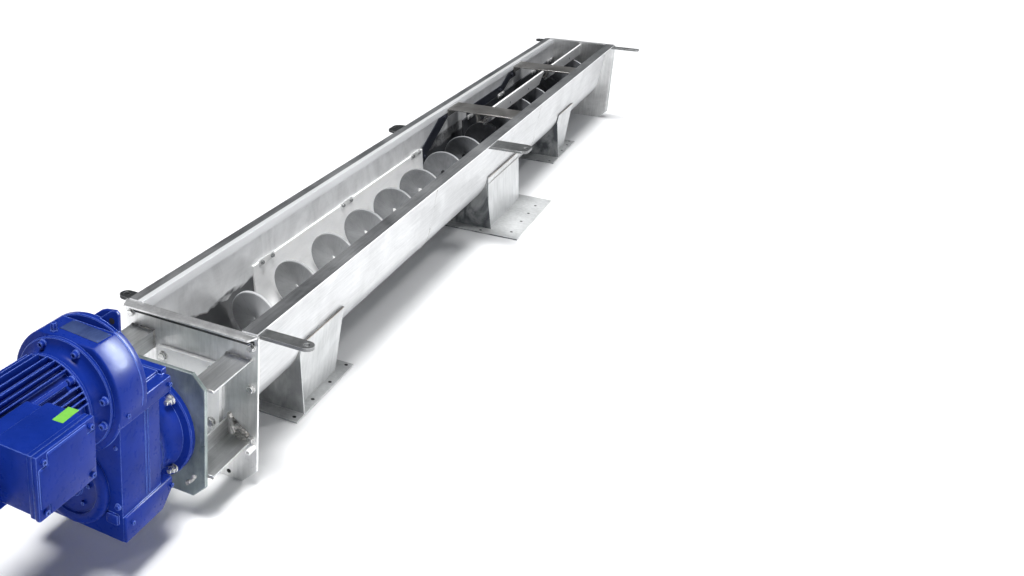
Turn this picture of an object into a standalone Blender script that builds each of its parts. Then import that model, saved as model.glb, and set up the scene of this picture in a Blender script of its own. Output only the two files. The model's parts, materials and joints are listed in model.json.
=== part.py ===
"""Shaftless spiral screw conveyor on its spouts, with a parallel-shaft gearmotor.

The conveyor runs along +Y away from its drive, +X is its right side and +Z is up.
The origin is on the floor, under the middle of the drive end plate. Metres.
"""
import math

import bmesh
import bpy
from mathutils import Matrix, Vector

NAME = "screw_conveyor"
GAP = 0.0003                      # between pieces that touch
PAST = 0.020                      # how far a cutter runs past the piece that it cuts
SUNK = 0.001                      # how far a joined shape reaches into its neighbour

# Driving sizes
AXIS_Z = 0.246                    # spiral axis above the floor
LENGTH = 4.350                    # between the two end plates' middles
TROUGH_RADIUS = 0.139             # inside of the sheet
TROUGH_SHEET = 0.004
WALL_LEAN = math.radians(6.6)     # the upper walls open outwards
WALL_TOP = 0.452
ARC_STEPS = 28                    # along the round bottom

RAIL_THICK = 0.005
RAIL_OUTER = 0.207                # half width over both rails
RAIL_LIP_BOTTOM = 0.428
RAIL_LIP_THICK = 0.004

LINER_THICK = 0.007
LINER_TOP = 0.343
LINER_FRONT = (0.590, 2.093)      # start and end along Y
LINER_REAR = (2.640, 4.340)

END_PLATE_HALF = 0.214
END_PLATE_TOP = 0.454
END_PLATE_THICK = 0.008
END_PLATE_CHAMFER = 0.046
END_PLATE_LIP = 0.030             # bent outwards along the top
END_PLATE_LIP_MITRE = 0.014
END_PLATE_LIP_HALF = 0.213
END_PLATE_LIP_SINK = 0.0002       # keeps the lip's top just under the plate's
END_PLATE_BORE = 0.045
END_FLANGE_THICK = 0.006
END_FLANGE_HALF = 0.206

BAY_JOINTS = (1.450, 2.900)

# Spiral and shaft
SPIRAL_RADIUS = 0.1265
SPIRAL_VOID = 0.042
SPIRAL_THICK = 0.012
SPIRAL_PITCH = 0.274
SPIRAL_START = 0.062
SPIRAL_END = 4.300
SPIRAL_STEPS = 32                 # per turn
SPIRAL_PHASE = math.radians(-50.0)
SPIRAL_HAND = -1                  # 1 for right-handed, -1 for left-handed
SHAFT_RADIUS = 0.030
SHAFT_START = -0.296
SHAFT_RUNNING_GAP = 0.0008
COUPLING_RADIUS = 0.075
COUPLING = (0.034, 0.0557)

# Gearmotor
FLANGE_RADIUS = 0.150
FLANGE_Y = (-0.224, -0.2043)
NECK_RADIUS = 0.118
NECK_FOOT_RADIUS = 0.124          # where the neck stands on the case
NECK_FOOT_END = -0.296
NECK_START = -0.286
CASE_HALF = 0.150
CASE_Y = (-0.500, -0.310)
CASE_Z = (0.122, 0.476)
CASE_ROUNDING = 0.012
MOTOR_Z = 0.488
LOBE_RADIUS = 0.154
LOBE_Y = (-0.509, -0.4065)
LOBE_BOTTOM = 0.360               # behind the case, lobe and motor flange stay above the bearing cover
LOBE_FLAT = ((-0.156, 0.6268), (0.156, 0.6178))    # line of its flat top, in X and Z
LOBE_RIM_START = -0.4246          # the flat ends here, at a full round rim
STEP_RADIUS = 0.146               # round step in front of the rim
STEP_FRONT = -0.397
EYE_BLOCK = ((0.0228, 0.6347), (0.0610, 0.6650), (0.0753, 0.6680), (0.0820, 0.6600), (0.0817, 0.6120),
             (0.0228, 0.6120))
EYE_BLOCK_Y = (-0.4135, -0.4070)
EYE_WEB = ((-0.0086, 0.6278), (0.0283, 0.6568), (0.0409, 0.6619), (0.0697, 0.6660), (0.0790, 0.6600),
           (0.0790, 0.6050), (-0.0086, 0.6050))
EYE_WEB_Y = (-0.4075, -0.3990)
EYE_HOLE = (0.0636, 0.6412)
EYE_HOLE_RADIUS = 0.007
COVER_BORE = 0.020
COVER_PROFILE = ((0.108, 0.0), (0.108, 0.010), (0.096, 0.018), (0.070, 0.018), (0.062, 0.010))
PLUG_X = -0.0414
PLUG_Y = -0.4916
PLUG_RADIUS = 0.0085
PLUG_TOP_RADIUS = 0.0068
PLUG_HEIGHT = 0.020
SHIELD_BORE = 0.030
SHIELD_PROFILE = ((0.138, 0.0), (0.138, 0.010), (0.116, 0.015), (0.106, 0.024), (0.105, 0.038),
                  (0.116, 0.048))
SHIELD_REAR = -0.566
HOUSING_REAR = -0.862
HOUSING_RADIUS = 0.106
FIN_RADIUS = 0.121
FIN_COUNT = 36
FIN_WIDTH = math.radians(2.4)
FIN_FLARE = 0.010                 # extra half width of a fin at its foot, as an angle
HOUSING_FLAT = 0.110              # seat of the terminal box
COWL_BORE = 0.034
COWL_PROFILE = ((0.124, -0.942), (0.116, -0.958), (0.100, -0.966))
BOX_X = (0.110, 0.216)
BOX_Y = (-0.855, -0.690)
BOX_Z = (0.458, 0.595)
BOX_ROUNDING = 0.006
LID_THICK = 0.018
LID_BEYOND = 0.004                # the lid is this much larger than the box on every side
LID_ROUNDING = 0.005

# Lantern
MOTOR_PLATE_HALF = 0.178
MOTOR_PLATE_CORNER = 0.037
MOTOR_PLATE_Y = (-0.204, -0.192)
MOTOR_PLATE_BORE = 0.060
STRUT_X = (0.118, 0.195)
STRUT_LEG = 0.054
STRUT_THICK = 0.005
STRUT_TOP = 0.384
STRUT_BOTTOM = 0.134
SEAL_HALF = 0.103
SEAL_THICK = 0.014
SEAL_CORNER = 0.012

# Crossbars and what they hold
CROSSBAR_Y = (2.512, 3.571)
CROSSBAR_WIDTH = 0.150
CROSSBAR_THICK = 0.006
CROSSBAR_TOP = 0.447
CROSSBAR_TAB = 0.034
HANGER_X = (-0.022, 0.032)
HANGER_TAPER = 0.009              # its legs lean in by this much
HANGER_DROP = 0.038
HANGER_LENGTH = 0.040
HOLD_DOWN_X = (0.002, 0.012)
HOLD_DOWN_BOTTOM = 0.379
HOLD_DOWN_TAIL = LENGTH - END_PLATE_THICK / 2 - GAP
HOLD_DOWN_FOOT_Y = ((2.495, 3.420), (3.557, HOLD_DOWN_TAIL))
HOLD_DOWN_TOP_Y = ((2.555, 3.508), (3.617, HOLD_DOWN_TAIL))
STRAP_THICK = 0.004
STRAP_1 = ((2.0945, 0.2800), (2.0945, 0.3399), (2.3296, 0.4270), (2.4900, 0.4270), (2.1505, 0.3011),
           (2.1505, 0.2800))      # outline in Y and Z
STRAP_2 = ((2.7100, 0.3450), (3.2900, 0.3450), (3.4300, 0.3870), (3.5350, 0.3870), (3.5350, 0.4270),
           (3.4200, 0.4270), (3.2800, 0.3850), (2.7100, 0.3850))

# Lifting lugs
LUG_THICK = 0.010
LUG_WIDTH = 0.044
LUG_MIDDLE_WIDTH = 0.110
LUG_MIDDLE_Y = 1.995
LUG_RIGHT_TIP = 0.357
LUG_LEFT_TIP = 0.257
LUG_ROUNDING = 0.030
LUG_HOLE = 0.009
LUG_HOLE_INSET = 0.020            # from the tip

# Spouts: ends along Y, half widths at the bottom, of the front wings and of the flange, flange ends
SPOUT_SHEET = 0.005
SPOUT_FLANGE = 0.006
SPOUT_TOP = 0.243
SPOUTS = {
    "spout_1": {"y": (0.376, 0.668), "foot": 0.127, "wing": 0.164, "flange": 0.166,
                "flange_y": (0.324, 0.732)},
    "spout_2": {"y": (2.150, 2.610), "foot": 0.172, "wing": 0.182, "flange": 0.315,
                "flange_y": (2.093, 2.668)},
    "spout_3": {"y": (3.362, 3.654), "foot": 0.127, "wing": 0.170, "flange": 0.172,
                "flange_y": (3.252, 3.718)},
}
WING_TOP = 0.218                  # the front panel's wings run up to the trough's side here
WING_TOP_HALF = 0.142
OUTLET_INSET = 0.024              # from a spout's ends to the opening in the trough
OUTLET_HALF = 0.112
OUTLET_BOTTOM = 0.050

COLOURS = {
    "stainless": ((0.55, 0.56, 0.57), 0.32, 1.0),
    "zinc": ((0.42, 0.46, 0.46), 0.38, 1.0),
    "blue_paint": ((0.016, 0.045, 0.42), 0.28, 0.0),
    "white_plastic": ((0.80, 0.80, 0.79), 0.45, 0.0),
    "dark_steel": ((0.03, 0.033, 0.04), 0.45, 0.6),
    "dark_plastic": ((0.025, 0.027, 0.03), 0.5, 0.0),
    "spiral_steel": ((0.22, 0.23, 0.24), 0.5, 0.8),
}


def clear_scene():
    for item in list(bpy.data.objects):
        bpy.data.objects.remove(item, do_unlink=True)


def new_collection(name):
    group = bpy.data.collections.new(name)
    bpy.context.scene.collection.children.link(group)
    return group


def material(name, finish):
    colour, roughness, metallic = COLOURS[finish]
    made = bpy.data.materials.new(name)
    made.use_nodes = True
    shader = made.node_tree.nodes["Principled BSDF"]
    shader.inputs["Base Color"].default_value = (*colour, 1.0)
    shader.inputs["Roughness"].default_value = roughness
    shader.inputs["Metallic"].default_value = metallic
    made.diffuse_color = (*colour, 1.0)
    return made


def add_object(name, mesh, matrix=None):
    item = bpy.data.objects.new(name, mesh)
    if matrix is not None:
        item.matrix_world = matrix
    return item


def as_part(item, finish, smooth=None):
    """Link a finished piece, with its own material."""
    PARTS.objects.link(item)
    item.data.materials.clear()
    item.data.materials.append(material(item.name, finish))
    if smooth is None:
        item.data.shade_flat()
    else:
        item.data.shade_smooth()
        item.data.set_sharp_from_angle(angle=math.radians(smooth))
    return item


def as_cutter(item):
    CUTTERS.objects.link(item)
    item.hide_render = True
    item.display_type = "WIRE"
    return item


def boolean(item, cutter, operation="DIFFERENCE"):
    step = item.modifiers.new(operation.lower() + "_" + cutter.name, "BOOLEAN")
    step.operation = operation
    step.solver = "EXACT"
    step.object = cutter


# Planes for outlines: the local z of an outline becomes the direction that it is extruded along
ACROSS = Matrix(((1, 0, 0, 0), (0, 0, -1, 0), (0, 1, 0, 0), (0, 0, 0, 1)))     # outline in X and Z
LEVEL = Matrix.Identity(4)                                                     # outline in X and Y
ALONG = Matrix(((0, 0, 1, 0), (1, 0, 0, 0), (0, 1, 0, 0), (0, 0, 0, 1)))       # outline in Y and Z


def extruded(name, outlines, plane, start, end):
    """A flat outline, with any holes, extruded from start to end, as a mesh."""
    flat = bpy.data.curves.new(name, "CURVE")
    flat.dimensions = "2D"
    flat.fill_mode = "BOTH"
    flat.extrude = (end - start) / 2
    for outline in outlines:
        spline = flat.splines.new("POLY")
        spline.points.add(len(outline) - 1)
        for point, (u, v) in zip(spline.points, outline):
            point.co = (u, v, 0.0, 1.0)
        spline.use_cyclic_u = True
    curve = bpy.data.objects.new(name + "_outline", flat)
    bpy.context.scene.collection.objects.link(curve)
    middle = (start + end) / 2
    shift = {"ACROSS": (0, middle, 0), "LEVEL": (0, 0, middle), "ALONG": (middle, 0, 0)}
    key = "ACROSS" if plane is ACROSS else "LEVEL" if plane is LEVEL else "ALONG"
    curve.matrix_world = Matrix.Translation(shift[key]) @ plane
    bpy.context.view_layer.update()
    evaluated = curve.evaluated_get(bpy.context.evaluated_depsgraph_get())
    mesh = bpy.data.meshes.new_from_object(evaluated)
    weld = bmesh.new()
    weld.from_mesh(mesh)
    bmesh.ops.remove_doubles(weld, verts=weld.verts, dist=0.00001)
    bmesh.ops.recalc_face_normals(weld, faces=weld.faces)
    weld.to_mesh(mesh)
    weld.free()
    made = add_object(name, mesh, curve.matrix_world.copy())
    bpy.data.objects.remove(curve, do_unlink=True)
    return made


def box(name, low, high):
    mesh = bpy.data.meshes.new(name)
    shape = bmesh.new()
    bmesh.ops.create_cube(shape, size=1.0)
    low, high = Vector(low), Vector(high)
    size = high - low
    bmesh.ops.scale(shape, vec=size, verts=shape.verts)
    shape.to_mesh(mesh)
    shape.free()
    return add_object(name, mesh, Matrix.Translation((low + high) / 2))


def cylinder(name, radius, start, end, x=0.0, z=AXIS_Z, sides=48):
    """A cylinder along Y."""
    mesh = bpy.data.meshes.new(name)
    shape = bmesh.new()
    bmesh.ops.create_cone(shape, cap_ends=True, segments=sides, radius1=radius, radius2=radius,
                          depth=end - start)
    shape.to_mesh(mesh)
    shape.free()
    place = Matrix.Translation((x, (start + end) / 2, z)) @ Matrix.Rotation(math.radians(-90), 4, "X")
    return add_object(name, mesh, place)


def turned(name, profile, z, steps=48):
    """A profile of (radius, y) points, closed, turned round an axis along Y."""
    mesh = bpy.data.meshes.new(name)
    shape = bmesh.new()
    points = [shape.verts.new((radius, 0.0, y)) for radius, y in profile]
    for first, second in zip(points, points[1:] + points[:1]):
        shape.edges.new((first, second))
    shape.to_mesh(mesh)
    shape.free()
    place = Matrix.Translation((0, 0, z)) @ Matrix.Rotation(math.radians(-90), 4, "X")
    made = add_object(name, mesh, place)
    screw = made.modifiers.new("turn", "SCREW")
    screw.axis = "Z"
    screw.steps = steps
    screw.render_steps = steps
    screw.use_merge_vertices = True
    screw.merge_threshold = 0.00001
    return made


def bevel(item, width, segments=2, angle=40):
    step = item.modifiers.new("rounded_edges", "BEVEL")
    step.width = width
    step.segments = segments
    step.limit_method = "ANGLE"
    step.angle_limit = math.radians(angle)
    return item


def circle(u, v, radius, sides=24):
    return [(u + radius * math.cos(2 * math.pi * i / sides), v + radius * math.sin(2 * math.pi * i / sides))
            for i in range(sides)]


def arc(u, v, radius, first, last, steps):
    """Points of an arc from one angle to another, in degrees."""
    return [(u + radius * math.cos(math.radians(first + (last - first) * i / steps)),
             v + radius * math.sin(math.radians(first + (last - first) * i / steps)))
            for i in range(steps + 1)]


def wall_x(offset, z):
    """Half width of the leaning wall at a height, offset outwards from the sheet's inside."""
    return (TROUGH_RADIUS + offset) / math.cos(WALL_LEAN) + (z - AXIS_Z) * math.tan(WALL_LEAN)


def trough_path(offset, top):
    """The U section from its left top, round the bottom, to its right top."""
    lean = math.degrees(WALL_LEAN)
    bottom = arc(0, AXIS_Z, TROUGH_RADIUS + offset, 180 + lean, 360 - lean, ARC_STEPS)
    return [(-wall_x(offset, top), top)] + bottom + [(wall_x(offset, top), top)]


def trough_shell(inner, outer, top):
    return trough_path(outer, top) + trough_path(inner, top)[::-1]


def sheet_outside(extra):
    return TROUGH_SHEET + extra


def cut_outlet(item, spout_name):
    """Open a piece of the trough's bottom over one spout."""
    front, rear = SPOUTS[spout_name]["y"]
    low = (-OUTLET_HALF, front + OUTLET_INSET, OUTLET_BOTTOM)
    high = (OUTLET_HALF, rear - OUTLET_INSET, AXIS_Z)
    boolean(item, as_cutter(box(item.name + "_outlet_cut", low, high)))


def trough_bays():
    """Three bays of the U-trough, with an opening over each spout."""
    face = END_PLATE_THICK / 2 + GAP
    ends = (face, *BAY_JOINTS, LENGTH - face)
    for index in range(3):
        start = ends[index] + (GAP / 2 if index else 0)
        end = ends[index + 1] - (GAP / 2 if index < 2 else 0)
        bay = extruded("trough_bay_%d" % (index + 1),
                       [trough_shell(0, TROUGH_SHEET, WALL_TOP)], ACROSS, start, end)
        cut_outlet(bay, "spout_%d" % (index + 1))
        as_part(bay, "stainless", 30)


def top_rails():
    """An angle along each top edge: its flat leg points out and its lip lines the wall."""
    top = WALL_TOP + GAP
    for side, name in ((-1, "top_rail_left"), (1, "top_rail_right")):
        outer, inner = -GAP, -GAP - RAIL_LIP_THICK
        outline = [(wall_x(inner, RAIL_LIP_BOTTOM), RAIL_LIP_BOTTOM),
                   (wall_x(outer, RAIL_LIP_BOTTOM), RAIL_LIP_BOTTOM),
                   (wall_x(outer, top), top),
                   (RAIL_OUTER, top),
                   (RAIL_OUTER, top + RAIL_THICK),
                   (wall_x(inner, top + RAIL_THICK), top + RAIL_THICK)]
        outline = [(side * x, z) for x, z in outline]
        edge = END_PLATE_THICK / 2 + GAP
        as_part(extruded(name, [outline], ACROSS, edge, LENGTH - edge), "stainless")


def liners():
    """Two lengths of plastic liner, each open over the spout in its length."""
    for name, (start, end), finish, spout in (("liner_front", LINER_FRONT, "white_plastic", "spout_1"),
                                              ("liner_rear", LINER_REAR, "dark_plastic", "spout_3")):
        section = trough_shell(-GAP - LINER_THICK, -GAP, LINER_TOP)
        liner = extruded(name, [section], ACROSS, start, end)
        cut_outlet(liner, spout)
        as_part(liner, finish, 30)


def plate_outline(half, top, chamfer):
    return [(-half + chamfer, 0), (half - chamfer, 0), (half, chamfer), (half, top), (-half, top),
            (-half, chamfer)]


def end_plates():
    """The two end plates, each with a lip bent outwards along its top."""
    for name, y, way, bored in (("end_plate_drive", 0.0, -1, True), ("end_plate_tail", LENGTH, 1, False)):
        outlines = [plate_outline(END_PLATE_HALF, END_PLATE_TOP, END_PLATE_CHAMFER)]
        if bored:
            outlines.append(circle(0, AXIS_Z, END_PLATE_BORE, 32))
        half = END_PLATE_THICK / 2
        plate = extruded(name, outlines, ACROSS, y - half, y + half)
        root, tip = y - way * SUNK, y + way * (half + END_PLATE_LIP)
        wide, narrow = END_PLATE_LIP_HALF, END_PLATE_LIP_HALF - END_PLATE_LIP_MITRE
        lip = extruded(name + "_lip", [[(-wide, root), (wide, root), (narrow, tip), (-narrow, tip)]],
                       LEVEL, END_PLATE_TOP - RAIL_THICK, END_PLATE_TOP - END_PLATE_LIP_SINK)
        boolean(plate, as_cutter(lip), "UNION")
        as_part(plate, "stainless")


def end_flanges():
    """The trough's own flange behind each end plate, cut to the trough's outside."""
    gap_path = trough_path(sheet_outside(GAP), WALL_TOP + PAST)
    for name, near in (("end_flange_drive", True), ("end_flange_tail", False)):
        inset = END_PLATE_THICK / 2 + GAP
        start = inset if near else LENGTH - inset - END_FLANGE_THICK
        outer = plate_outline(END_FLANGE_HALF, WALL_TOP - GAP, END_PLATE_CHAMFER)
        flange = extruded(name, [outer], ACROSS, start, start + END_FLANGE_THICK)
        cut = extruded(name + "_cut", [gap_path], ACROSS, start - PAST, start + END_FLANGE_THICK + PAST)
        boolean(flange, as_cutter(cut))
        as_part(flange, "stainless")


def spouts():
    """Square spouts under the trough: their bottom flanges are the conveyor's feet."""
    for name, size in SPOUTS.items():
        front, rear = size["y"]
        foot, top_half = size["foot"], TROUGH_RADIUS + TROUGH_SHEET + GAP + SPOUT_SHEET
        base = SPOUT_FLANGE / 2
        outer = [(-foot, base), (foot, base), (top_half, SPOUT_TOP), (-top_half, SPOUT_TOP)]
        inner_foot, inner_top = foot - SPOUT_SHEET, top_half - SPOUT_SHEET
        inner = [(-inner_foot, -PAST), (inner_foot, -PAST), (inner_top, SPOUT_TOP + PAST),
                 (-inner_top, SPOUT_TOP + PAST)]
        shell = extruded(name, [outer], ACROSS, front, rear)
        hollow = extruded(name + "_hollow", [inner], ACROSS, front + SPOUT_SHEET, rear - SPOUT_SHEET)
        trough = extruded(name + "_trough", [trough_path(sheet_outside(GAP), SPOUT_TOP + PAST)], ACROSS,
                          front - PAST, rear + PAST)
        wing = size["wing"]
        panel = extruded(name + "_front", [[(-wing, base), (wing, base), (WING_TOP_HALF, WING_TOP),
                                            (-WING_TOP_HALF, WING_TOP)]],
                         ACROSS, front - SUNK, front + SPOUT_SHEET - SUNK)
        low, high = size["flange_y"]
        edge = size["flange"]
        ring = extruded(name + "_flange", [[(-edge, low), (edge, low), (edge, high), (-edge, high)]],
                        LEVEL, 0.0, SPOUT_FLANGE)
        boolean(shell, as_cutter(panel), "UNION")
        boolean(shell, as_cutter(ring), "UNION")
        boolean(shell, as_cutter(hollow))
        boolean(shell, as_cutter(trough))
        as_part(shell, "stainless")


def lug_outline(side, root, tip, middle, width):
    """A flat bar with a round end, in X and Y."""
    radius = min(width / 2, LUG_ROUNDING)
    half = width / 2
    end = [(tip - radius + radius * math.cos(a), half - radius + radius * math.sin(a))
           for a in (math.radians(d) for d in range(0, 91, 15))]
    points = [(root, -half)] + [(x, -y) for x, y in reversed(end)] + end[1:] + [(root, half)]
    if radius < half:
        points = [(root, -half)] + [(x, -y) for x, y in reversed(end)] + end + [(root, half)]
    return [(side * x, middle + y) for x, y in points]


def lifting_lugs():
    """Three pairs of lugs under the rails: at both ends and in the middle."""
    inset = END_PLATE_THICK / 2 + 2 * GAP + END_FLANGE_THICK + LUG_WIDTH / 2
    places = ((inset, LUG_WIDTH), (LUG_MIDDLE_Y, LUG_MIDDLE_WIDTH), (LENGTH - inset, LUG_WIDTH))
    top = WALL_TOP
    root = wall_x(sheet_outside(2 * GAP), WALL_TOP)
    for side, word, tip in ((-1, "left", LUG_LEFT_TIP), (1, "right", LUG_RIGHT_TIP)):
        for index, (middle, width) in enumerate(places):
            outline = lug_outline(side, root, tip, middle, width)
            hole = circle(side * (tip - LUG_HOLE_INSET), middle, LUG_HOLE, 16)
            name = "lifting_lug_%s_%d" % (word, index + 1)
            as_part(extruded(name, [outline, hole], LEVEL, top - LUG_THICK, top), "stainless")


def crossbars():
    """Flat bars across the trough with turned-down tabs, each with a U hanger below its front edge."""
    low = CROSSBAR_TOP - CROSSBAR_THICK
    for index, y in enumerate(CROSSBAR_Y):
        half = wall_x(-2 * GAP - RAIL_LIP_THICK, low)
        tab_x = wall_x(-2 * GAP - RAIL_LIP_THICK, CROSSBAR_TOP - CROSSBAR_TAB)
        left, right = HANGER_X
        foot_left, foot_right, foot = left + HANGER_TAPER, right - HANGER_TAPER, low - HANGER_DROP
        section = [(-half, CROSSBAR_TOP), (-tab_x, CROSSBAR_TOP - CROSSBAR_TAB),
                   (-tab_x + CROSSBAR_THICK, CROSSBAR_TOP - CROSSBAR_TAB), (-half + CROSSBAR_THICK, low),
                   (left, low), (foot_left, foot), (foot_right, foot), (right, low),
                   (half - CROSSBAR_THICK, low),
                   (tab_x - CROSSBAR_THICK, CROSSBAR_TOP - CROSSBAR_TAB),
                   (tab_x, CROSSBAR_TOP - CROSSBAR_TAB), (half, CROSSBAR_TOP)]
        front, rear = y - CROSSBAR_WIDTH / 2, y + CROSSBAR_WIDTH / 2
        name = "crossbar_%d" % (index + 1)
        bar = extruded(name, [section], ACROSS, front, rear)
        sheet = CROSSBAR_THICK
        slot = extruded(name + "_hanger_slot",
                        [[(left + sheet, low), (foot_left + sheet, foot + sheet),
                          (foot_right - sheet, foot + sheet), (right - sheet, low)]],
                        ACROSS, front - PAST, rear + PAST)
        behind = box(name + "_hanger_end", (left - SUNK, front + HANGER_LENGTH, foot - PAST),
                     (right + SUNK, rear + PAST, low))
        boolean(bar, as_cutter(slot))
        boolean(bar, as_cutter(behind))
        as_part(bar, "stainless")


def hold_down_rails():
    """Plastic plates on edge under the crossbars that keep the spiral down."""
    top = CROSSBAR_TOP - CROSSBAR_THICK - GAP
    for index, ((foot_start, foot_end), (start, end)) in enumerate(zip(HOLD_DOWN_FOOT_Y, HOLD_DOWN_TOP_Y)):
        outline = [(foot_start, HOLD_DOWN_BOTTOM), (foot_end, HOLD_DOWN_BOTTOM), (end, top), (start, top)]
        as_part(extruded("hold_down_rail_%d" % (index + 1), [outline], ALONG, *HOLD_DOWN_X), "white_plastic")


def liner_straps():
    """Dark straps on both walls that run down from the crossbars to the liners' top edges."""
    for side, word in ((-1, "left"), (1, "right")):
        for number, route in (("1", STRAP_1), ("2", STRAP_2)):
            name = "liner_strap_%s_%s" % (word, number)
            outline = [(y, (z - AXIS_Z) / math.cos(WALL_LEAN)) for y, z in route]
            strap = extruded(name, [outline], ALONG, 0.0, STRAP_THICK)
            inside = (TROUGH_RADIUS - GAP - STRAP_THICK) / math.cos(WALL_LEAN)
            turn = Matrix.Rotation(side * WALL_LEAN, 4, "Y")
            mirror = Matrix.Identity(4) if side > 0 else Matrix.Translation((-STRAP_THICK, 0, 0))
            strap.matrix_world = (Matrix.Translation((side * inside, 0, AXIS_Z)) @ turn @ mirror
                                  @ strap.matrix_world)
            as_part(strap, "dark_steel")


def lantern():
    """The frame between the drive end plate and the gearmotor's flange."""
    half, corner = MOTOR_PLATE_HALF, MOTOR_PLATE_CORNER
    outline = []
    for sx, sz in ((1, 1), (-1, 1), (-1, -1), (1, -1)):
        pair = [(sx * half, AXIS_Z + sz * (half - corner)), (sx * (half - corner), AXIS_Z + sz * half)]
        outline += pair if sx * sz > 0 else pair[::-1]
    bore = circle(0, AXIS_Z, MOTOR_PLATE_BORE, 32)
    as_part(extruded("motor_plate", [outline, bore], ACROSS, *MOTOR_PLATE_Y), "zinc")
    start, end = MOTOR_PLATE_Y[1] + GAP, -END_PLATE_THICK / 2 - GAP
    inner, outer = STRUT_X
    for side, word in ((-1, "left"), (1, "right")):
        for level, height, way in (("top", STRUT_TOP, -1), ("bottom", STRUT_BOTTOM, 1)):
            angle = [(inner, height), (outer, height), (outer, height + way * STRUT_THICK),
                     (inner + STRUT_THICK, height + way * STRUT_THICK),
                     (inner + STRUT_THICK, height + way * STRUT_LEG), (inner, height + way * STRUT_LEG)]
            angle = [(side * x, z) for x, z in angle]
            name = "lantern_strut_%s_%s" % (level, word)
            as_part(extruded(name, [angle], ACROSS, start, end), "stainless")
    square = []
    for sx, sz, first in ((1, 1, 0), (-1, 1, 90), (-1, -1, 180), (1, -1, 270)):
        inset = SEAL_HALF - SEAL_CORNER
        square += arc(sx * inset, AXIS_Z + sz * inset, SEAL_CORNER, first, first + 90, 4)
    bore = circle(0, AXIS_Z, SHAFT_RADIUS + SHAFT_RUNNING_GAP, 48)
    seal = extruded("seal_plate", [square, bore], ACROSS, end - SEAL_THICK, end)
    as_part(seal, "white_plastic")


def gear_case():
    """The cast case: a square lower part round the output shaft and a round lobe at the motor."""
    low = (-CASE_HALF, CASE_Y[0], CASE_Z[0])
    high = (CASE_HALF, CASE_Y[1], CASE_Z[1])
    case = bevel(box("gear_case", low, high), CASE_ROUNDING)
    rear, front = LOBE_Y
    lobe = cylinder("case_lobe", LOBE_RADIUS, rear, front, z=MOTOR_Z, sides=56)
    left, right = LOBE_FLAT
    above = MOTOR_Z + LOBE_RADIUS + PAST
    flat = extruded("case_flat_cut", [[left, right, (right[0], above), (left[0], above)]], ACROSS,
                    rear - PAST, LOBE_RIM_START)
    boolean(lobe, as_cutter(flat))
    below = box("case_lobe_bottom_cut", (-CASE_HALF, rear - PAST, MOTOR_Z - LOBE_RADIUS - PAST),
                (CASE_HALF, CASE_Y[0] + SUNK, LOBE_BOTTOM))
    boolean(lobe, as_cutter(below))
    boolean(case, as_cutter(lobe), "UNION")
    step = cylinder("case_step", STEP_RADIUS, front - SUNK, STEP_FRONT, z=MOTOR_Z, sides=56)
    boolean(case, as_cutter(step), "UNION")
    boolean(case, as_cutter(extruded("case_eye_block", [EYE_BLOCK], ACROSS, *EYE_BLOCK_Y)), "UNION")
    boolean(case, as_cutter(extruded("case_eye_web", [EYE_WEB], ACROSS, *EYE_WEB_Y)), "UNION")
    hole = cylinder("case_eye_hole", EYE_HOLE_RADIUS, EYE_BLOCK_Y[0] - PAST, EYE_WEB_Y[1] + PAST,
                    x=EYE_HOLE[0], z=EYE_HOLE[1], sides=12)
    boolean(case, as_cutter(hole))
    as_part(case, "blue_paint", 35)


def output_flange():
    bore = SHAFT_RADIUS + SHAFT_RUNNING_GAP
    face = CASE_Y[1] + GAP
    profile = [(bore, FLANGE_Y[1]), (bore, face), (NECK_FOOT_RADIUS, face),
               (NECK_FOOT_RADIUS, NECK_FOOT_END), (NECK_RADIUS, NECK_START), (NECK_RADIUS, FLANGE_Y[0]),
               (FLANGE_RADIUS, FLANGE_Y[0]), (FLANGE_RADIUS, FLANGE_Y[1])]
    as_part(turned("output_flange", profile[::-1], AXIS_Z, 64), "blue_paint", 35)


def output_bearing_cover():
    face = CASE_Y[0] - GAP
    profile = [(COVER_BORE, face)] + [(radius, face - depth) for radius, depth in COVER_PROFILE]
    profile.append((COVER_BORE, profile[-1][1]))
    as_part(turned("output_bearing_cover", profile, AXIS_Z), "blue_paint", 35)


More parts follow.
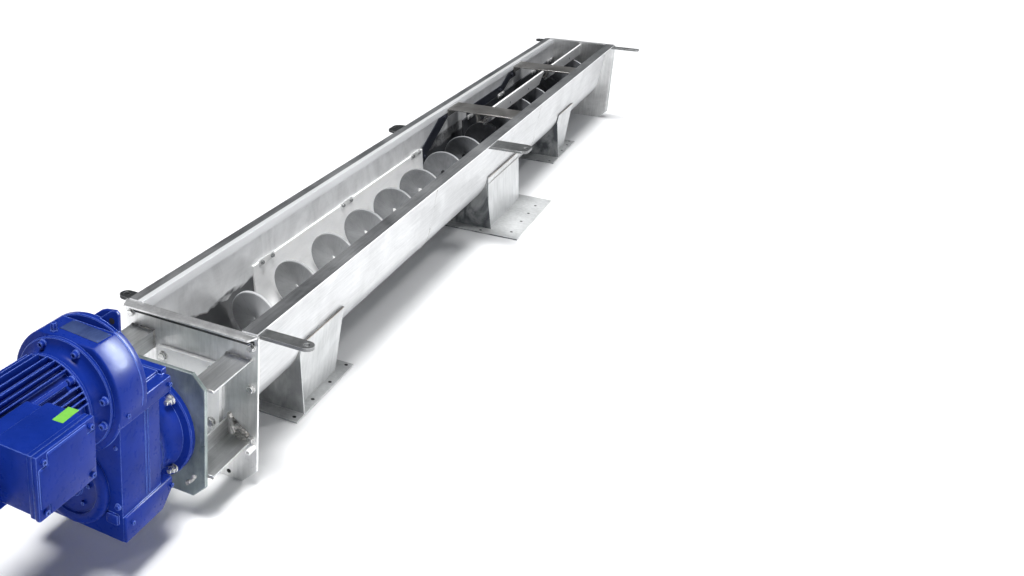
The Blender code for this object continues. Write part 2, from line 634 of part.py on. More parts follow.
def motor():
    """The electric motor behind the case: end shield, finned housing, fan cowl and terminal box."""
    face, rear = LOBE_Y[0] - GAP, SHIELD_REAR + GAP
    shield = [(SHIELD_BORE, face)] + [(radius, face - depth) for radius, depth in SHIELD_PROFILE]
    shield += [(shield[-1][0], rear), (SHIELD_BORE, rear)]
    shield = turned("motor_end_shield", shield, MOTOR_Z)
    below = box("shield_bottom_cut", (-CASE_HALF, SHIELD_REAR, MOTOR_Z - LOBE_RADIUS - PAST),
                (CASE_HALF, CASE_Y[0], LOBE_BOTTOM))
    boolean(shield, as_cutter(below))
    as_part(shield, "blue_paint", 35)
    outline = []
    step = 2 * math.pi / FIN_COUNT
    foot, tip = FIN_WIDTH + FIN_FLARE, FIN_WIDTH / 2
    for index in range(FIN_COUNT):
        middle = (index + 0.5) * step
        for radius, angle in ((HOUSING_RADIUS, -foot), (FIN_RADIUS, -tip), (FIN_RADIUS, tip),
                              (HOUSING_RADIUS, foot)):
            x = min(radius * math.cos(middle + angle), HOUSING_FLAT - GAP)
            outline.append((x, MOTOR_Z + radius * math.sin(middle + angle)))
    housing = extruded("motor_housing", [outline], ACROSS, HOUSING_REAR, SHIELD_REAR)
    as_part(housing, "blue_paint")
    face = HOUSING_REAR - GAP
    cowl = [(COWL_BORE, face), (COWL_PROFILE[0][0], face), *COWL_PROFILE, (COWL_BORE, COWL_PROFILE[-1][1])]
    as_part(turned("motor_fan_cowl", cowl, MOTOR_Z), "blue_paint", 35)
    low = (BOX_X[0], BOX_Y[0], BOX_Z[0])
    high = (BOX_X[1] - GAP, BOX_Y[1], BOX_Z[1])
    as_part(bevel(box("terminal_box", low, high), BOX_ROUNDING), "blue_paint")
    low = (BOX_X[1], BOX_Y[0] - LID_BEYOND, BOX_Z[0] - LID_BEYOND)
    high = (BOX_X[1] + LID_THICK, BOX_Y[1] + LID_BEYOND, BOX_Z[1] + LID_BEYOND)
    as_part(bevel(box("terminal_box_lid", low, high), LID_ROUNDING), "blue_paint")


def breather_plug():
    """A round plug that stands on the lobe's flat top, left of its middle."""
    mesh = bpy.data.meshes.new("breather_plug")
    shape = bmesh.new()
    bmesh.ops.create_cone(shape, cap_ends=True, segments=12, radius1=PLUG_RADIUS, radius2=PLUG_TOP_RADIUS,
                          depth=PLUG_HEIGHT)
    shape.to_mesh(mesh)
    shape.free()
    (left, left_z), (right, right_z) = LOBE_FLAT
    fall = (left_z - right_z) / (right - left)
    seat = left_z - fall * (PLUG_X - PLUG_RADIUS - left) + GAP
    place = Matrix.Translation((PLUG_X, PLUG_Y, seat + PLUG_HEIGHT / 2))
    as_part(add_object("breather_plug", mesh, place), "blue_paint", 35)


def drive_shaft():
    """The output shaft with the coupling disc that carries the spiral."""
    start, end = COUPLING
    shaft = cylinder("drive_shaft", SHAFT_RADIUS, SHAFT_START, start + SUNK)
    disc = cylinder("coupling_disc", COUPLING_RADIUS, start, end)
    boolean(shaft, as_cutter(disc), "UNION")
    return as_part(shaft, "spiral_steel", 35)


def spiral():
    """A flat bar wound on edge, with no shaft: left-handed, and open along its middle."""
    mesh = bpy.data.meshes.new("spiral")
    shape = bmesh.new()
    half = SPIRAL_THICK / 2
    corners = ((SPIRAL_VOID, -half), (SPIRAL_RADIUS, -half), (SPIRAL_RADIUS, half), (SPIRAL_VOID, half))
    section = shape.faces.new([shape.verts.new((radius, 0.0, y)) for radius, y in corners])
    turns = (SPIRAL_END - SPIRAL_START) / SPIRAL_PITCH
    steps = round(turns * SPIRAL_STEPS)
    rise = (SPIRAL_END - SPIRAL_START) / steps
    bmesh.ops.spin(shape, geom=[section] + list(section.edges) + list(section.verts), cent=(0, 0, 0),
                   axis=(0, 0, 1), dvec=(0, 0, rise), angle=SPIRAL_HAND * 2 * math.pi * turns, steps=steps)
    bmesh.ops.recalc_face_normals(shape, faces=shape.faces)
    shape.to_mesh(mesh)
    shape.free()
    place = (Matrix.Translation((0, SPIRAL_START, AXIS_Z)) @ Matrix.Rotation(math.radians(-90), 4, "X")
             @ Matrix.Rotation(SPIRAL_PHASE, 4, "Z"))
    return as_part(add_object("spiral", mesh, place), "spiral_steel", 40)


def rotor():
    """The turning pieces, under an empty on the spiral's axis."""
    axis = bpy.data.objects.new("spiral_axis", None)
    axis.location = (0, 0, AXIS_Z)
    PARTS.objects.link(axis)
    bpy.context.view_layer.update()
    for item in (drive_shaft(), spiral()):
        bpy.context.view_layer.update()
        item.parent = axis
        item.matrix_parent_inverse = axis.matrix_world.inverted()


clear_scene()
PARTS = new_collection(NAME)
CUTTERS = new_collection(NAME + "_cutters")
trough_bays()
top_rails()
liners()
end_plates()
end_flanges()
spouts()
lifting_lugs()
crossbars()
hold_down_rails()
liner_straps()
lantern()
gear_case()
output_flange()
output_bearing_cover()
motor()
breather_plug()
rotor()
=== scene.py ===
"""The looks of the screw conveyor: finishes, bolts, welds, castings, light and camera.

Everything is in metres in the conveyor's own frame: +Y along it, +X its right side, +Z up.
"""
import json
from math import atan2, cos, pi, radians, sin, tan

import bmesh
import bpy
from mathutils import Matrix, Vector, noise


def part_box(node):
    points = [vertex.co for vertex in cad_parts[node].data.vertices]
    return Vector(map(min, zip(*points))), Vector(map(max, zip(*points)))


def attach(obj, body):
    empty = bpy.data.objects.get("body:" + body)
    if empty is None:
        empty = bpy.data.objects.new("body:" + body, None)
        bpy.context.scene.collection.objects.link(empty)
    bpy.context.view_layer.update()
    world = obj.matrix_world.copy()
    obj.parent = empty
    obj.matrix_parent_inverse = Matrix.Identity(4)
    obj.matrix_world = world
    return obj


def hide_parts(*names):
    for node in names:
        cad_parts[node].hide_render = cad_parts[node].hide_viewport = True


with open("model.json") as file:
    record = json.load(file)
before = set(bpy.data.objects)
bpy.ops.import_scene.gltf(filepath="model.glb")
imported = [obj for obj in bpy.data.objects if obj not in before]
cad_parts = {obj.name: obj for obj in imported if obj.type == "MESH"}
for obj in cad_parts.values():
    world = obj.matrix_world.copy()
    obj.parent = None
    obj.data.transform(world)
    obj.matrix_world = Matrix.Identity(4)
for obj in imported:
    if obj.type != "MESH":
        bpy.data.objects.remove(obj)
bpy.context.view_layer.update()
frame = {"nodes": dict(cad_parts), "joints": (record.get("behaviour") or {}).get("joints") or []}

FIXED = "conveyor"
TURNING = "screw"
AXIS_Z = Vector(frame["joints"][0]["pos_m"]).z
SIDES = (-1, 1)
DRIVE_WARD = (0, -1, 0)
TAIL_WARD = (0, 1, 0)

# Camera, as fitted to the photograph
CAMERA_PLACE = (1.3657, -2.035, 1.706)
CAMERA_YAW = radians(-31.246)
CAMERA_PITCH = radians(18.527)
CAMERA_ROLL = radians(0.216)
CAMERA_SENSOR = 36.0              # millimetres
CAMERA_LENS = 35.484
CAMERA_SHIFT = (0.2731, -0.1196)  # the picture is a cut-out from a larger frame
CAMERA_REACH = 150.0

# Light: a high soft key, two area lights and a world that is bright on the right near the horizon
KEY_FROM = (0.02, -0.15, 0.97)
KEY_STRENGTH = 4.3
KEY_ANGLE = 0.34
SKY_RIGHT = (3.9, 3.95, 4.05)
SKY_LEFT = (0.1, 0.105, 0.115)
ZENITH = (0.05, 0.055, 0.065)
AREA_LIGHTS = (
    ("right_softbox", (2.2, 0.6, 1.2), (0.0, 0.0, 0.45), (0.7, 0.7), 9.0), ("high_strip", (1.3, 2.6, 2.9),
    (0.0, -0.3, 0.5), (0.3, 0.8), 26.0))
# A softbox that shows only as a reflection on the round castings
SOFTBOX_PLACE = Vector((1.6, 1.64, 2.1))
SOFTBOX_TARGET = Vector((0.1, -0.46, 0.6))
SOFTBOX_LENGTHWISE = Vector((-0.7, 0.0, 0.72))
SOFTBOX_SIZE = (2.2, 0.9)
SOFTBOX_POWER = 950.0
SOFTBOX_COLOUR = (0.82, 0.91, 1.0)
FLOOR_HALF = 45.0
FLOOR_Z = -0.0005

# Trough and liner
WALL_LEAN = radians(6.6)
TROUGH_RADIUS = 0.139
LINER_THICK = 0.0073
SHEET_OUT = 0.0045                # from the trough's inside to just outside its sheet
CLIP_HEIGHT = 0.34
CLIP_ROWS = (0.676, 1.3, 2.011, 2.76, 3.25, 3.9, 4.25)
CLIP_HALF = Vector((0.0015, 0.052, 0.011))
CLIP_BOLT_REACH = 0.034
STRAP_BOLTS = ((2.39, 0.417), (2.122, 0.298), (2.75, 0.365), (3.25, 0.365), (3.465, 0.407))
HOLD_DOWN_HOLES = {1: (2.61, 2.884, 3.211), 2: (3.76, 4.08)}
HOLD_DOWN_HOLE_RISE = 0.023
SEAM_TOP = 0.425
LUG_UNDERSIDE = 0.441

# Ends and lantern
END_PLATE_THICK = 0.008
END_BOLT_X = 0.194
END_BOLT_Z = (0.42, 0.298, 0.142)
END_HOLE = (0.126, 0.018)         # half distance across, and height
LIP_WELD_Z = 0.4485
# A near-black strip under the drive end plate's lip: painted shadow.
LIP_SHADOW_SPAN = (0.203, 0.4235, 0.4385)
SEAL_BOLT = 0.0785
FLANGE_BOLTS = ((0.0893, 0.3465), (0.0945, 0.15))     # half distance across, and height
FLANGE_BACK = 0.0197
PIN_PLACE = (0.203, 0.121)

# Spouts: distance of the hole rows from the flange's side, the rows, and where the spout meets the trough
SPOUTS = {
    1: (0.019, (0.465, 0.587), (0.378, 0.666)), 2: (0.046, (2.165, 2.315, 2.433, 2.55), (2.152, 2.608)),
    3: (0.019, (3.38, 3.5, 3.62), (3.364, 3.652))}
SPOUT_FLANGE_TOP = 0.006
SPOUT_SEAM_Z = 0.242
STITCHES = (2.15, 2.61, 0.215)

# Spiral
SPIRAL_OUTER = 0.1265
SPIRAL_INNER = 0.042
SPIRAL_HALF = 0.006
SPIRAL_EDGE = 0.0022
SPIRAL_START = 0.062
SPIRAL_END = 4.3
SPIRAL_PITCH = 0.274
SPIRAL_PHASE = radians(-50.0)
SPIRAL_STEPS = 72                 # per turn

# Gearmotor
MOTOR_Z = 0.488
CASE_SIDE = 0.1435                # half width between the bands
CASE_REAR = -0.4995
CASE_FRONT = -0.345
CASE_LOW = 0.1245
CASE_HIGH = 0.4745
BAND_SIDE = 0.15
BAND_FRONT = -0.306
NECK_RADIUS = 0.124
LOBE_RADIUS = 0.154
LOBE_REAR = -0.509
LOBE_RIM_START = -0.4246
LOBE_FRONT = -0.4065
LOBE_BOTTOM = 0.36
STEP_RADIUS = 0.146
STEP_FRONT = -0.397
FLAT_LEFT = (-0.156, 0.6268)
FLAT_RIGHT = (0.156, 0.6178)
EYE_BLOCK = (
    (0.0228, 0.6347), (0.061, 0.665), (0.0753, 0.668), (0.082, 0.66), (0.0817, 0.612), (0.0228, 0.612))
EYE_WEB = (
    (-0.0086, 0.6278), (0.0283, 0.6568), (0.0409, 0.6619), (0.0697, 0.666), (0.079, 0.66), (0.079, 0.605),
    (-0.0086, 0.605))
EYE_HOLE = (0.0636, 0.6412)
NAMEPLATE_AT = (0.02, -0.4555)
COVER_SCREWS = (0.056, 6)         # radius of their circle, and how many
FIN_ANGLES = (18, 24.5, 31, 38.5, 61, 68.5, 77, 87.8, 100.7, 110.5, 119, 141.5, 149, 155.5, 162)
LEFT_FIN_ANGLES = (170, 178, 186, 194, 202)
RIB_ANGLES = (48.8, 131.2, -48.8, -131.2)
SHIELD_SCREWS = (0.1245, (10, 68, 113, 170, 200, 340))
SHIELD_LUGS = 0.108
COWL_SCREWS = 0.1238
GRILLE_RINGS = ((0.054, 14), (0.072, 20), (0.09, 26))
LABEL_AT = (0.1772, -0.7122)


def wall_x(offset, z):
    """Half width of the leaning wall at a height, offset outwards from the sheet's inside."""
    return (TROUGH_RADIUS + offset) / cos(WALL_LEAN) + (z - AXIS_Z) * tan(WALL_LEAN)


def around(radius, degrees, centre_z):
    """X and Z of a point at an angle round an axis along Y."""
    angle = radians(degrees)
    return radius * cos(angle), centre_z + radius * sin(angle)


# Nodes of a material; a node goes into the tree of the socket or tree that is given

def add(source, kind, inputs=None, **settings):
    tree = source.id_data
    made = tree.nodes.new("ShaderNode" + kind)
    for key, value in settings.items():
        setattr(made, key, value)
    for key, value in (inputs or {}).items():
        if isinstance(value, bpy.types.NodeSocket):
            tree.links.new(value, made.inputs[key])
        else:
            made.inputs[key].default_value = value
    return made


def fractal(where, stretch, detail=4.0, rough=0.55, warp=0.0):
    """Noise from 0 to 1, finer where stretch is larger."""
    place = add(where, "Mapping", {"Vector": where, "Scale": stretch}).outputs["Vector"]
    return add(where, "TexNoise", {"Vector": place, "Scale": 1.0, "Detail": detail, "Roughness": rough,
                                   "Distortion": warp}).outputs["Fac"]


def spread(value, low, high, to_low=0.0, to_high=1.0):
    """A value's range mapped on to another range, and held at its ends."""
    return add(value, "MapRange", {"Value": value, "From Min": low, "From Max": high, "To Min": to_low,
                                   "To Max": to_high}).outputs["Result"]


def blend(factor, first, second):
    """Two colours mixed by a factor."""
    colours = [
        value if isinstance(value, bpy.types.NodeSocket) else (*value, 1.0) for value in (first, second)]
    return add(factor, "Mix", {0: factor, 6: colours[0], 7: colours[1]}, data_type="RGBA").outputs[2]


def calculate(operation, first, second):
    return add(first, "Math", {0: first, 1: second}, operation=operation).outputs[0]


def times(first, second):
    return calculate("MULTIPLY", first, second)


def mixed(first, share, second, other_share):
    """Two values added in given shares."""
    return calculate("ADD", times(first, share), times(second, other_share))


def split(vector, axis):
    return add(vector, "SeparateXYZ", {"Vector": vector}).outputs[axis]


def facing(where):
    return add(where, "NewGeometry").outputs["Normal"]


def dot(first, second):
    return add(first, "VectorMath", {0: first, 1: second}, operation="DOT_PRODUCT").outputs["Value"]


def bumped(height, depth, strength, under=None):
    inputs = {"Height": height, "Distance": depth, "Strength": strength}
    if under is not None:
        inputs["Normal"] = under
    return add(height, "Bump", inputs).outputs["Normal"]


def edges(where, radius):
    """1 along edges and corners, 0 on flat faces."""
    rounded = add(where, "Bevel", {"Radius": radius}, samples=4).outputs["Normal"]
    return spread(dot(rounded, facing(where)), 0.985, 0.86)


def new_material(name):
    made = bpy.data.materials.new(name)
    made.use_nodes = True
    return made, *parts_of(made)


def parts_of(material):
    """A material's shader and the place on the object."""
    tree = material.node_tree
    return tree.nodes["Principled BSDF"], add(tree, "TexCoord").outputs["Object"]


def finish_shader(shader, colour=None, rough=None, normal=None):
    for socket, value in (("Base Color", colour), ("Roughness", rough), ("Normal", normal)):
        if value is not None:
            shader.id_data.links.new(value, shader.inputs[socket])


def sheet_metal(name, grain, dark, light, rough=(0.3, 0.46), waves=0.6, edge=0.002,
                edge_highlight=(0.92, 0.93, 0.94), metallic=0.5, stain=0.35):
    """Rolled steel sheet: streaks along the grain, clouds, scratches, a slightly wavy face and a painted
    highlight along the edges.
    """
    made, shader, where = new_material(name)
    streaks = fractal(where, grain, 5.0, 0.65)
    clouds = fractal(where, (7.0, 4.0, 7.0), 6.0, 0.6, 0.8)
    stains = fractal(where, (26.0, 18.0, 26.0), 5.0, 0.7, 1.5)
    scratches = spread(fractal(where, tuple(2.2 * g for g in grain), 2.0, 0.5, 0.3), 0.66, 0.72)
    tone = mixed(streaks, 0.45, clouds, 0.75)
    colour = blend(spread(tone, 0.42, 0.78), dark, light)
    stained = spread(stains, 0.6, 0.78, 0.0, stain)
    colour = blend(stained, colour, tuple(0.5 * c for c in dark))
    colour = blend(times(scratches, 0.4), colour, light)
    # Lighter along the edges: painted highlight.
    if edge:
        colour = blend(edges(where, edge), colour, edge_highlight)
    dullness = mixed(clouds, 0.6, stains, 0.4)
    broad = bumped(fractal(where, (3.0, 2.2, 3.0), 2.0), 0.006, waves)
    shader.inputs["Metallic"].default_value = metallic
    finish_shader(shader, colour, spread(dullness, 0.35, 0.68, *rough), bumped(streaks, 0.0004, 0.35, broad))
    return made


def enamel(name):
    """Blue machine paint on castings: corners filled and softened, with a painted highlight in light blue
    along the edges.
    """
    made, shader, where = new_material(name)
    clouds = fractal(where, (9.0, 9.0, 9.0), 5.0, 0.6)
    peel = fractal(where, (420.0, 420.0, 420.0), 2.0)
    cast = fractal(where, (60.0, 60.0, 60.0), 4.0, 0.6)
    colour = blend(spread(clouds, 0.35, 0.65), (0.005, 0.022, 0.2), (0.009, 0.031, 0.27))
    flecks = spread(fractal(where, (150.0, 150.0, 150.0), 3.0, 0.7), 0.78, 0.84)
    # Light blue along edges and corners: painted highlight.
    colour = blend(times(edges(where, 0.0024), 0.85), colour, (0.22, 0.34, 0.92))
    colour = blend(times(flecks, 0.1), colour, (0.08, 0.12, 0.4))
    shader.inputs["Specular IOR Level"].default_value = 0.07
    soft = add(where, "Bevel", {"Radius": 0.003}, samples=6).outputs["Normal"]
    rolling = bumped(cast, 0.0012, 0.12, soft)
    finish_shader(shader, colour, spread(cast, 0.3, 0.7, 0.25, 0.34), bumped(peel, 0.0002, 0.05, rolling))
    return made


def plastic(name, colour, marks, rough):
    """Sliding plastic with scuffs along the conveyor and a little grime."""
    made, shader, where = new_material(name)
    grime = fractal(where, (16.0, 6.0, 16.0), 5.0, 0.65, 1.0)
    scuffs = spread(fractal(where, (240.0, 7.0, 240.0), 3.0, 0.6), 0.6, 0.72)
    shade = blend(spread(grime, 0.45, 0.75, 0.0, 0.7), colour, marks)
    shade = blend(times(scuffs, 0.35), shade, marks)
    finish_shader(shader, shade, spread(grime, 0.3, 0.7, rough, rough + 0.18), bumped(scuffs, 0.0003, 0.15))
    return made


def spiral_bar(name):
    """Rolled bar, matt grey with painted light on the nearest turn and painted shade that darkens it with
    distance, fine dark lines across each turn, and a painted highlight along its edges.
    """
    made, shader, where = new_material(name)
    unrolled = add(where, "UVMap").outputs["UV"]
    lines = fractal(unrolled, (26.0, 420.0, 1.0), 4.0, 0.6)
    fans = fractal(unrolled, (150.0, 3.0, 1.0), 4.0, 0.6)
    clouds = fractal(where, (14.0, 14.0, 14.0), 5.0, 0.65, 0.7)
    across = split(unrolled, "Y")
    along = split(where, "Y")
    tone = spread(mixed(fans, 0.35, clouds, 0.65), 0.38, 0.66)
    near = blend(tone, (0.36, 0.368, 0.378), (0.5, 0.508, 0.518))
    # The far tone and its blend below darken the bar with distance: painted shade.
    far = blend(tone, (0.115, 0.12, 0.13), (0.19, 0.196, 0.21))
    # The nearest turn lightened: painted light.
    near = blend(spread(along, 0.2, 0.6), (0.8, 0.81, 0.825), near)
    colour = blend(spread(along, 0.5, 2.6), near, far)
    cracks = times(spread(fans, 0.4, 0.3), spread(across, 0.95, 0.45, 0.1, 0.75))
    colour = blend(cracks, colour, (0.16, 0.163, 0.17))
    # Lighter towards the outer rim.
    colour = blend(spread(across, 0.965, 1.0, 0.0, 0.4), colour, (0.5, 0.51, 0.52))
    # Lighter along the edges: painted highlight.
    colour = blend(times(edges(where, 0.0015), 0.4), colour, (0.48, 0.49, 0.5))
    shader.inputs["Metallic"].default_value = 0.2
    finish_shader(shader, colour, spread(clouds, 0.3, 0.7, 0.44, 0.6), bumped(lines, 0.0004, 0.18))
    return made


def trough_steel(name):
    """Sheet metal: inner faces lightened as painted light, painted shade in the unlined round bottom, and
    faces that turn downwards darkened as painted shade.
    """
    made = sheet_metal(
        name, (160.0, 5.0, 160.0), (0.5, 0.505, 0.51), (0.78, 0.785, 0.79), rough=(0.3, 0.44), waves=0.7,
        metallic=0.35, stain=0.25)
    shader, where = parts_of(made)
    place = add(where, "SeparateXYZ", {"Vector": where}).outputs
    height = calculate("SUBTRACT", place["Z"], AXIS_Z)
    outwards = add(where, "CombineXYZ", {"X": place["X"], "Z": height}).outputs["Vector"]
    inner = calculate("LESS_THAN", dot(outwards, facing(where)), 0.0)
    under = split(facing(where), "Z")
    sheet = shader.inputs["Base Color"].links[0].from_socket
    # Faces that turn downwards darkened: painted shade.
    sheet = blend(spread(under, 0.0, -0.85, 0.0, 0.85), sheet, (0.1, 0.105, 0.11))
    # Inner faces lightened in patches: painted light.
    inner_light_mottle = fractal(where, (13.0, 8.0, 6.0), 5.0, 0.62, 0.9)
    painted_inner_light = times(inner, spread(inner_light_mottle, 0.38, 0.62, 0.45, 0.95))
    inner_lit_sheet = blend(painted_inner_light, sheet, (0.97, 0.975, 0.98))
    # Dark below a wandering line on the inner faces: painted shade in the unlined bottom.
    wander = fractal(where, (9.0, 5.0, 9.0), 3.0, 0.5, 0.6)
    line = calculate("ADD", height, times(wander, 0.09))
    painted_bottom_shade = times(times(spread(line, 0.108, 0.101), inner), 0.93)
    shade = blend(painted_bottom_shade, inner_lit_sheet, (0.035, 0.038, 0.042))
    patches = spread(fractal(where, (20.0, 12.0, 20.0), 5.0, 0.7, 1.2), 0.4, 0.58)
    stretch = times(spread(place["Y"], 2.06, 2.14), spread(place["Y"], 2.66, 2.58))
    stretch = times(stretch, spread(height, 0.11, 0.1))
    dark = times(times(stretch, inner), spread(patches, 0.0, 1.0, 0.55, 0.95))
    finish_shader(shader, blend(dark, shade, (0.045, 0.048, 0.055)))
    return made


def spout_steel(name):
    """Folded sheet; the panels that face the drive are darkened as painted shade, mottled and deeper with
    distance.
    """
    made = sheet_metal(
        name, (60.0, 60.0, 6.0), (0.42, 0.43, 0.43), (0.7, 0.71, 0.71), rough=(0.32, 0.5), waves=0.7,
        edge_highlight=(0.97, 0.97, 0.97), metallic=0.35, stain=0.05)
    shader, where = parts_of(made)
    # Panels that face the drive darkened, mottled and deeper with distance along the conveyor: painted shade.
    shade_mottle = spread(fractal(where, (11.0, 11.0, 7.0), 5.0, 0.6, 0.8), 0.42, 0.6)
    depth = spread(split(where, "Y"), 0.4, 2.0, 0.55, 0.95)
    painted_drive_side_shade = times(
        spread(split(facing(where), "Y"), -0.4, -0.8), times(depth, spread(shade_mottle, 0.0, 1.0, 0.55, 1.0)))
    bright = shader.inputs["Base Color"].links[0].from_socket
    finish_shader(shader, blend(painted_drive_side_shade, bright, (0.055, 0.062, 0.07)))
    return made


def rail_steel(name):
    """Rails with a dull dark top, streaked along its length, a painted highlight along the left rail's inner
    edge, and sides lightened as painted light.
    """
    made = sheet_metal(
        name, (170.0, 5.0, 170.0), (0.085, 0.088, 0.092), (0.27, 0.275, 0.28), rough=(0.34, 0.5), edge=0.001,
        edge_highlight=(0.62, 0.63, 0.64), metallic=0.4, stain=0.6)
    shader, where = parts_of(made)
    aside = split(where, "X")
    # A lighter band along the left rail's inner edge: painted highlight.
    painted_inner_highlight = times(spread(aside, -0.179, -0.1755), spread(aside, -0.1, -0.15))
    top = blend(painted_inner_highlight, shader.inputs["Base Color"].links[0].from_socket, (0.82, 0.83, 0.84))
    # Faces that do not face up lightened: painted light on the sides.
    sides = spread(split(facing(where), "Z"), 0.75, 0.45)
    finish_shader(shader, blend(sides, top, (0.88, 0.89, 0.9)))
    return made


def printed_label(name, colour):
    """A thin plain label, slightly faded and creased."""
    made, shader, where = new_material(name)
    fade = fractal(where, (60.0, 60.0, 60.0), 4.0, 0.6)
    shade = blend(spread(fade, 0.35, 0.7), colour, tuple(0.82 * c for c in colour))
    shader.inputs["Roughness"].default_value = 0.34
    finish_shader(shader, shade, None, bumped(fade, 0.0006, 0.3))
    return made


def mottled(name, stretch, detail, first, second, rough):
    """A matt surface whose colour drifts between two tones."""
    made, shader, where = new_material(name)
    shader.inputs["Roughness"].default_value = rough
    finish_shader(shader, blend(fractal(where, (stretch,) * 3, detail), first, second))
    return made


TROUGH = trough_steel("trough_stainless")
SHEET_X = sheet_metal(
    "stainless_across", (5.0, 170.0, 170.0), (0.19, 0.18, 0.165), (0.5, 0.49, 0.47), metallic=0.85, stain=0.8)
SHEET_Y = sheet_metal(
    "stainless_along", (170.0, 5.0, 170.0), (0.4, 0.41, 0.41), (0.7, 0.71, 0.71), metallic=0.85)
SHEET_Z = sheet_metal(
    "stainless_upright", (110.0, 110.0, 9.0), (0.62, 0.62, 0.615), (0.96, 0.96, 0.955), metallic=0.85)
RAIL = rail_steel("rail_steel")
SPOUT = spout_steel("spout_steel")
PLATE = sheet_metal(
    "lug_plate", (60.0, 60.0, 60.0), (0.13, 0.135, 0.135), (0.32, 0.325, 0.325), rough=(0.38, 0.52),
    edge=0.0018, edge_highlight=(0.85, 0.86, 0.87), metallic=0.8)
# A darker copy of the lug plate, for the left lugs: painted shade.
SHADED_PLATE = sheet_metal(
    "shaded_lug_plate", (60.0, 60.0, 60.0), (0.016, 0.017, 0.018), (0.06, 0.062, 0.064), rough=(0.38, 0.52),
    edge=0.0018, edge_highlight=(0.5, 0.51, 0.52), metallic=0.5)
ZINC = sheet_metal(
    "zinc_coat", (40.0, 120.0, 14.0), (0.16, 0.2, 0.2), (0.4, 0.46, 0.455), rough=(0.26, 0.42), edge=0.003,
    metallic=0.6)
SHINY = sheet_metal(
    "bolt_steel", (90.0, 90.0, 90.0), (0.3, 0.3, 0.29), (0.95, 0.95, 0.94), rough=(0.14, 0.28), waves=0.0,
    edge=0.001, edge_highlight=(0.98, 0.98, 0.98), metallic=0.8)
CLIP = sheet_metal(
    "clip_steel", (70.0, 12.0, 70.0), (0.62, 0.62, 0.61), (0.96, 0.96, 0.955), rough=(0.3, 0.45), waves=0.0,
    edge=0.0012, metallic=0.3, stain=0.3)
WELD = sheet_metal(
    "weld_metal", (220.0, 220.0, 220.0), (0.2, 0.19, 0.175), (0.7, 0.69, 0.67), rough=(0.2, 0.42), waves=0.0,
    edge=0.0, metallic=0.6)
STAIN = sheet_metal(
    "heat_stained_weld", (120.0, 120.0, 120.0), (0.16, 0.13, 0.11), (0.42, 0.38, 0.34), rough=(0.3, 0.5),
    waves=0.0, edge=0.0, metallic=0.4)
STRAP = sheet_metal(
    "dark_strap", (140.0, 6.0, 140.0), (0.008, 0.01, 0.018), (0.024, 0.028, 0.044), rough=(0.34, 0.5),
    edge=0.001, edge_highlight=(0.1, 0.11, 0.13), metallic=0.2, stain=0.1)
# Near-black sheet for the strip under the lip: painted shadow.
PAINTED_LIP_SHADOW = sheet_metal(
    "painted_lip_shadow", (8.0, 120.0, 120.0), (0.01, 0.011, 0.012), (0.1, 0.1, 0.1), rough=(0.4, 0.6), waves=0.0,
    edge=0.0, metallic=0.2, stain=0.5)
BLUE = enamel("blue_enamel")
WHITE = plastic("white_plastic", (0.96, 0.96, 0.955), (0.8, 0.805, 0.81), 0.34)
BLACK = plastic("dark_plastic", (0.022, 0.024, 0.028), (0.1, 0.1, 0.11), 0.3)
BAR = spiral_bar("spiral_bar")
# Dark discs and slots in place of holes: painted shade inside them.
HOLE = mottled("dark_hole", 300.0, 4.0, (0.004, 0.004, 0.005), (0.016, 0.016, 0.018), 0.85)
NAMEPLATE = sheet_metal(
    "bare_nameplate", (200.0, 30.0, 30.0), (0.016, 0.032, 0.12), (0.05, 0.085, 0.22), rough=(0.4, 0.55),
    waves=0.0, edge=0.0008, edge_highlight=(0.12, 0.16, 0.3), metallic=0.2)
LABEL = printed_label("plain_green_label", (0.2, 0.56, 0.08))
FLOOR = mottled("studio_floor", 0.9, 3.0, (0.9, 0.905, 0.91), (0.92, 0.925, 0.93), 0.62)


# Shapes

def place_on(point, normal, turn=0.0):
    """A frame at a point with its z along the normal."""
    aim = Vector(normal).to_track_quat("Z", "Y").to_matrix().to_4x4()
    return Matrix.Translation(Vector(point)) @ aim @ Matrix.Rotation(turn, 4, "Z")


def put_turned(shape, profile, place, steps):
    """Adds a profile of (radius, height) points, bottom first, turned round the z of a place."""
    rings = []
    for radius, height in profile:
        if radius == 0:
            rings.append([shape.verts.new(place @ Vector((0, 0, height)))])
            continue
        rings.append([shape.verts.new(place @ Vector((radius * cos(2 * pi * i / steps),
                                                      radius * sin(2 * pi * i / steps), height)))
                      for i in range(steps)])
    for lower, upper in zip(rings, rings[1:]):
        for i in range(steps):
            j = (i + 1) % steps
            corners = [
                lower[i % len(lower)], lower[j % len(lower)], upper[j % len(upper)], upper[i % len(upper)]]
            unique = list(dict.fromkeys(corners))
            if len(unique) > 2:
                shape.faces.new(unique)
    for ring, flip in ((rings[0], True), (rings[-1], False)):
        if len(ring) > 2:
            shape.faces.new(ring[::-1] if flip else ring)


def put_box(shape, low, high, place=Matrix.Identity(4), bevel=0.0):
    low, high = Vector(low), Vector(high)
    made = bmesh.ops.create_cube(
        shape, size=1.0, matrix=Matrix.Translation((low + high) / 2) @ Matrix.Diagonal((*(high - low), 1.0)))
    corners = set(made["verts"])
    if bevel:
        sides = list(dict.fromkeys(edge for vert in made["verts"] for edge in vert.link_edges))
        rounded = bmesh.ops.bevel(shape, geom=sides, offset=bevel, segments=2, affect="EDGES", profile=0.5)
        corners = {vert for face in rounded["faces"] for vert in face.verts}
        corners |= {vert for vert in made["verts"] if vert.is_valid}
    bmesh.ops.transform(shape, matrix=place, verts=list(corners))


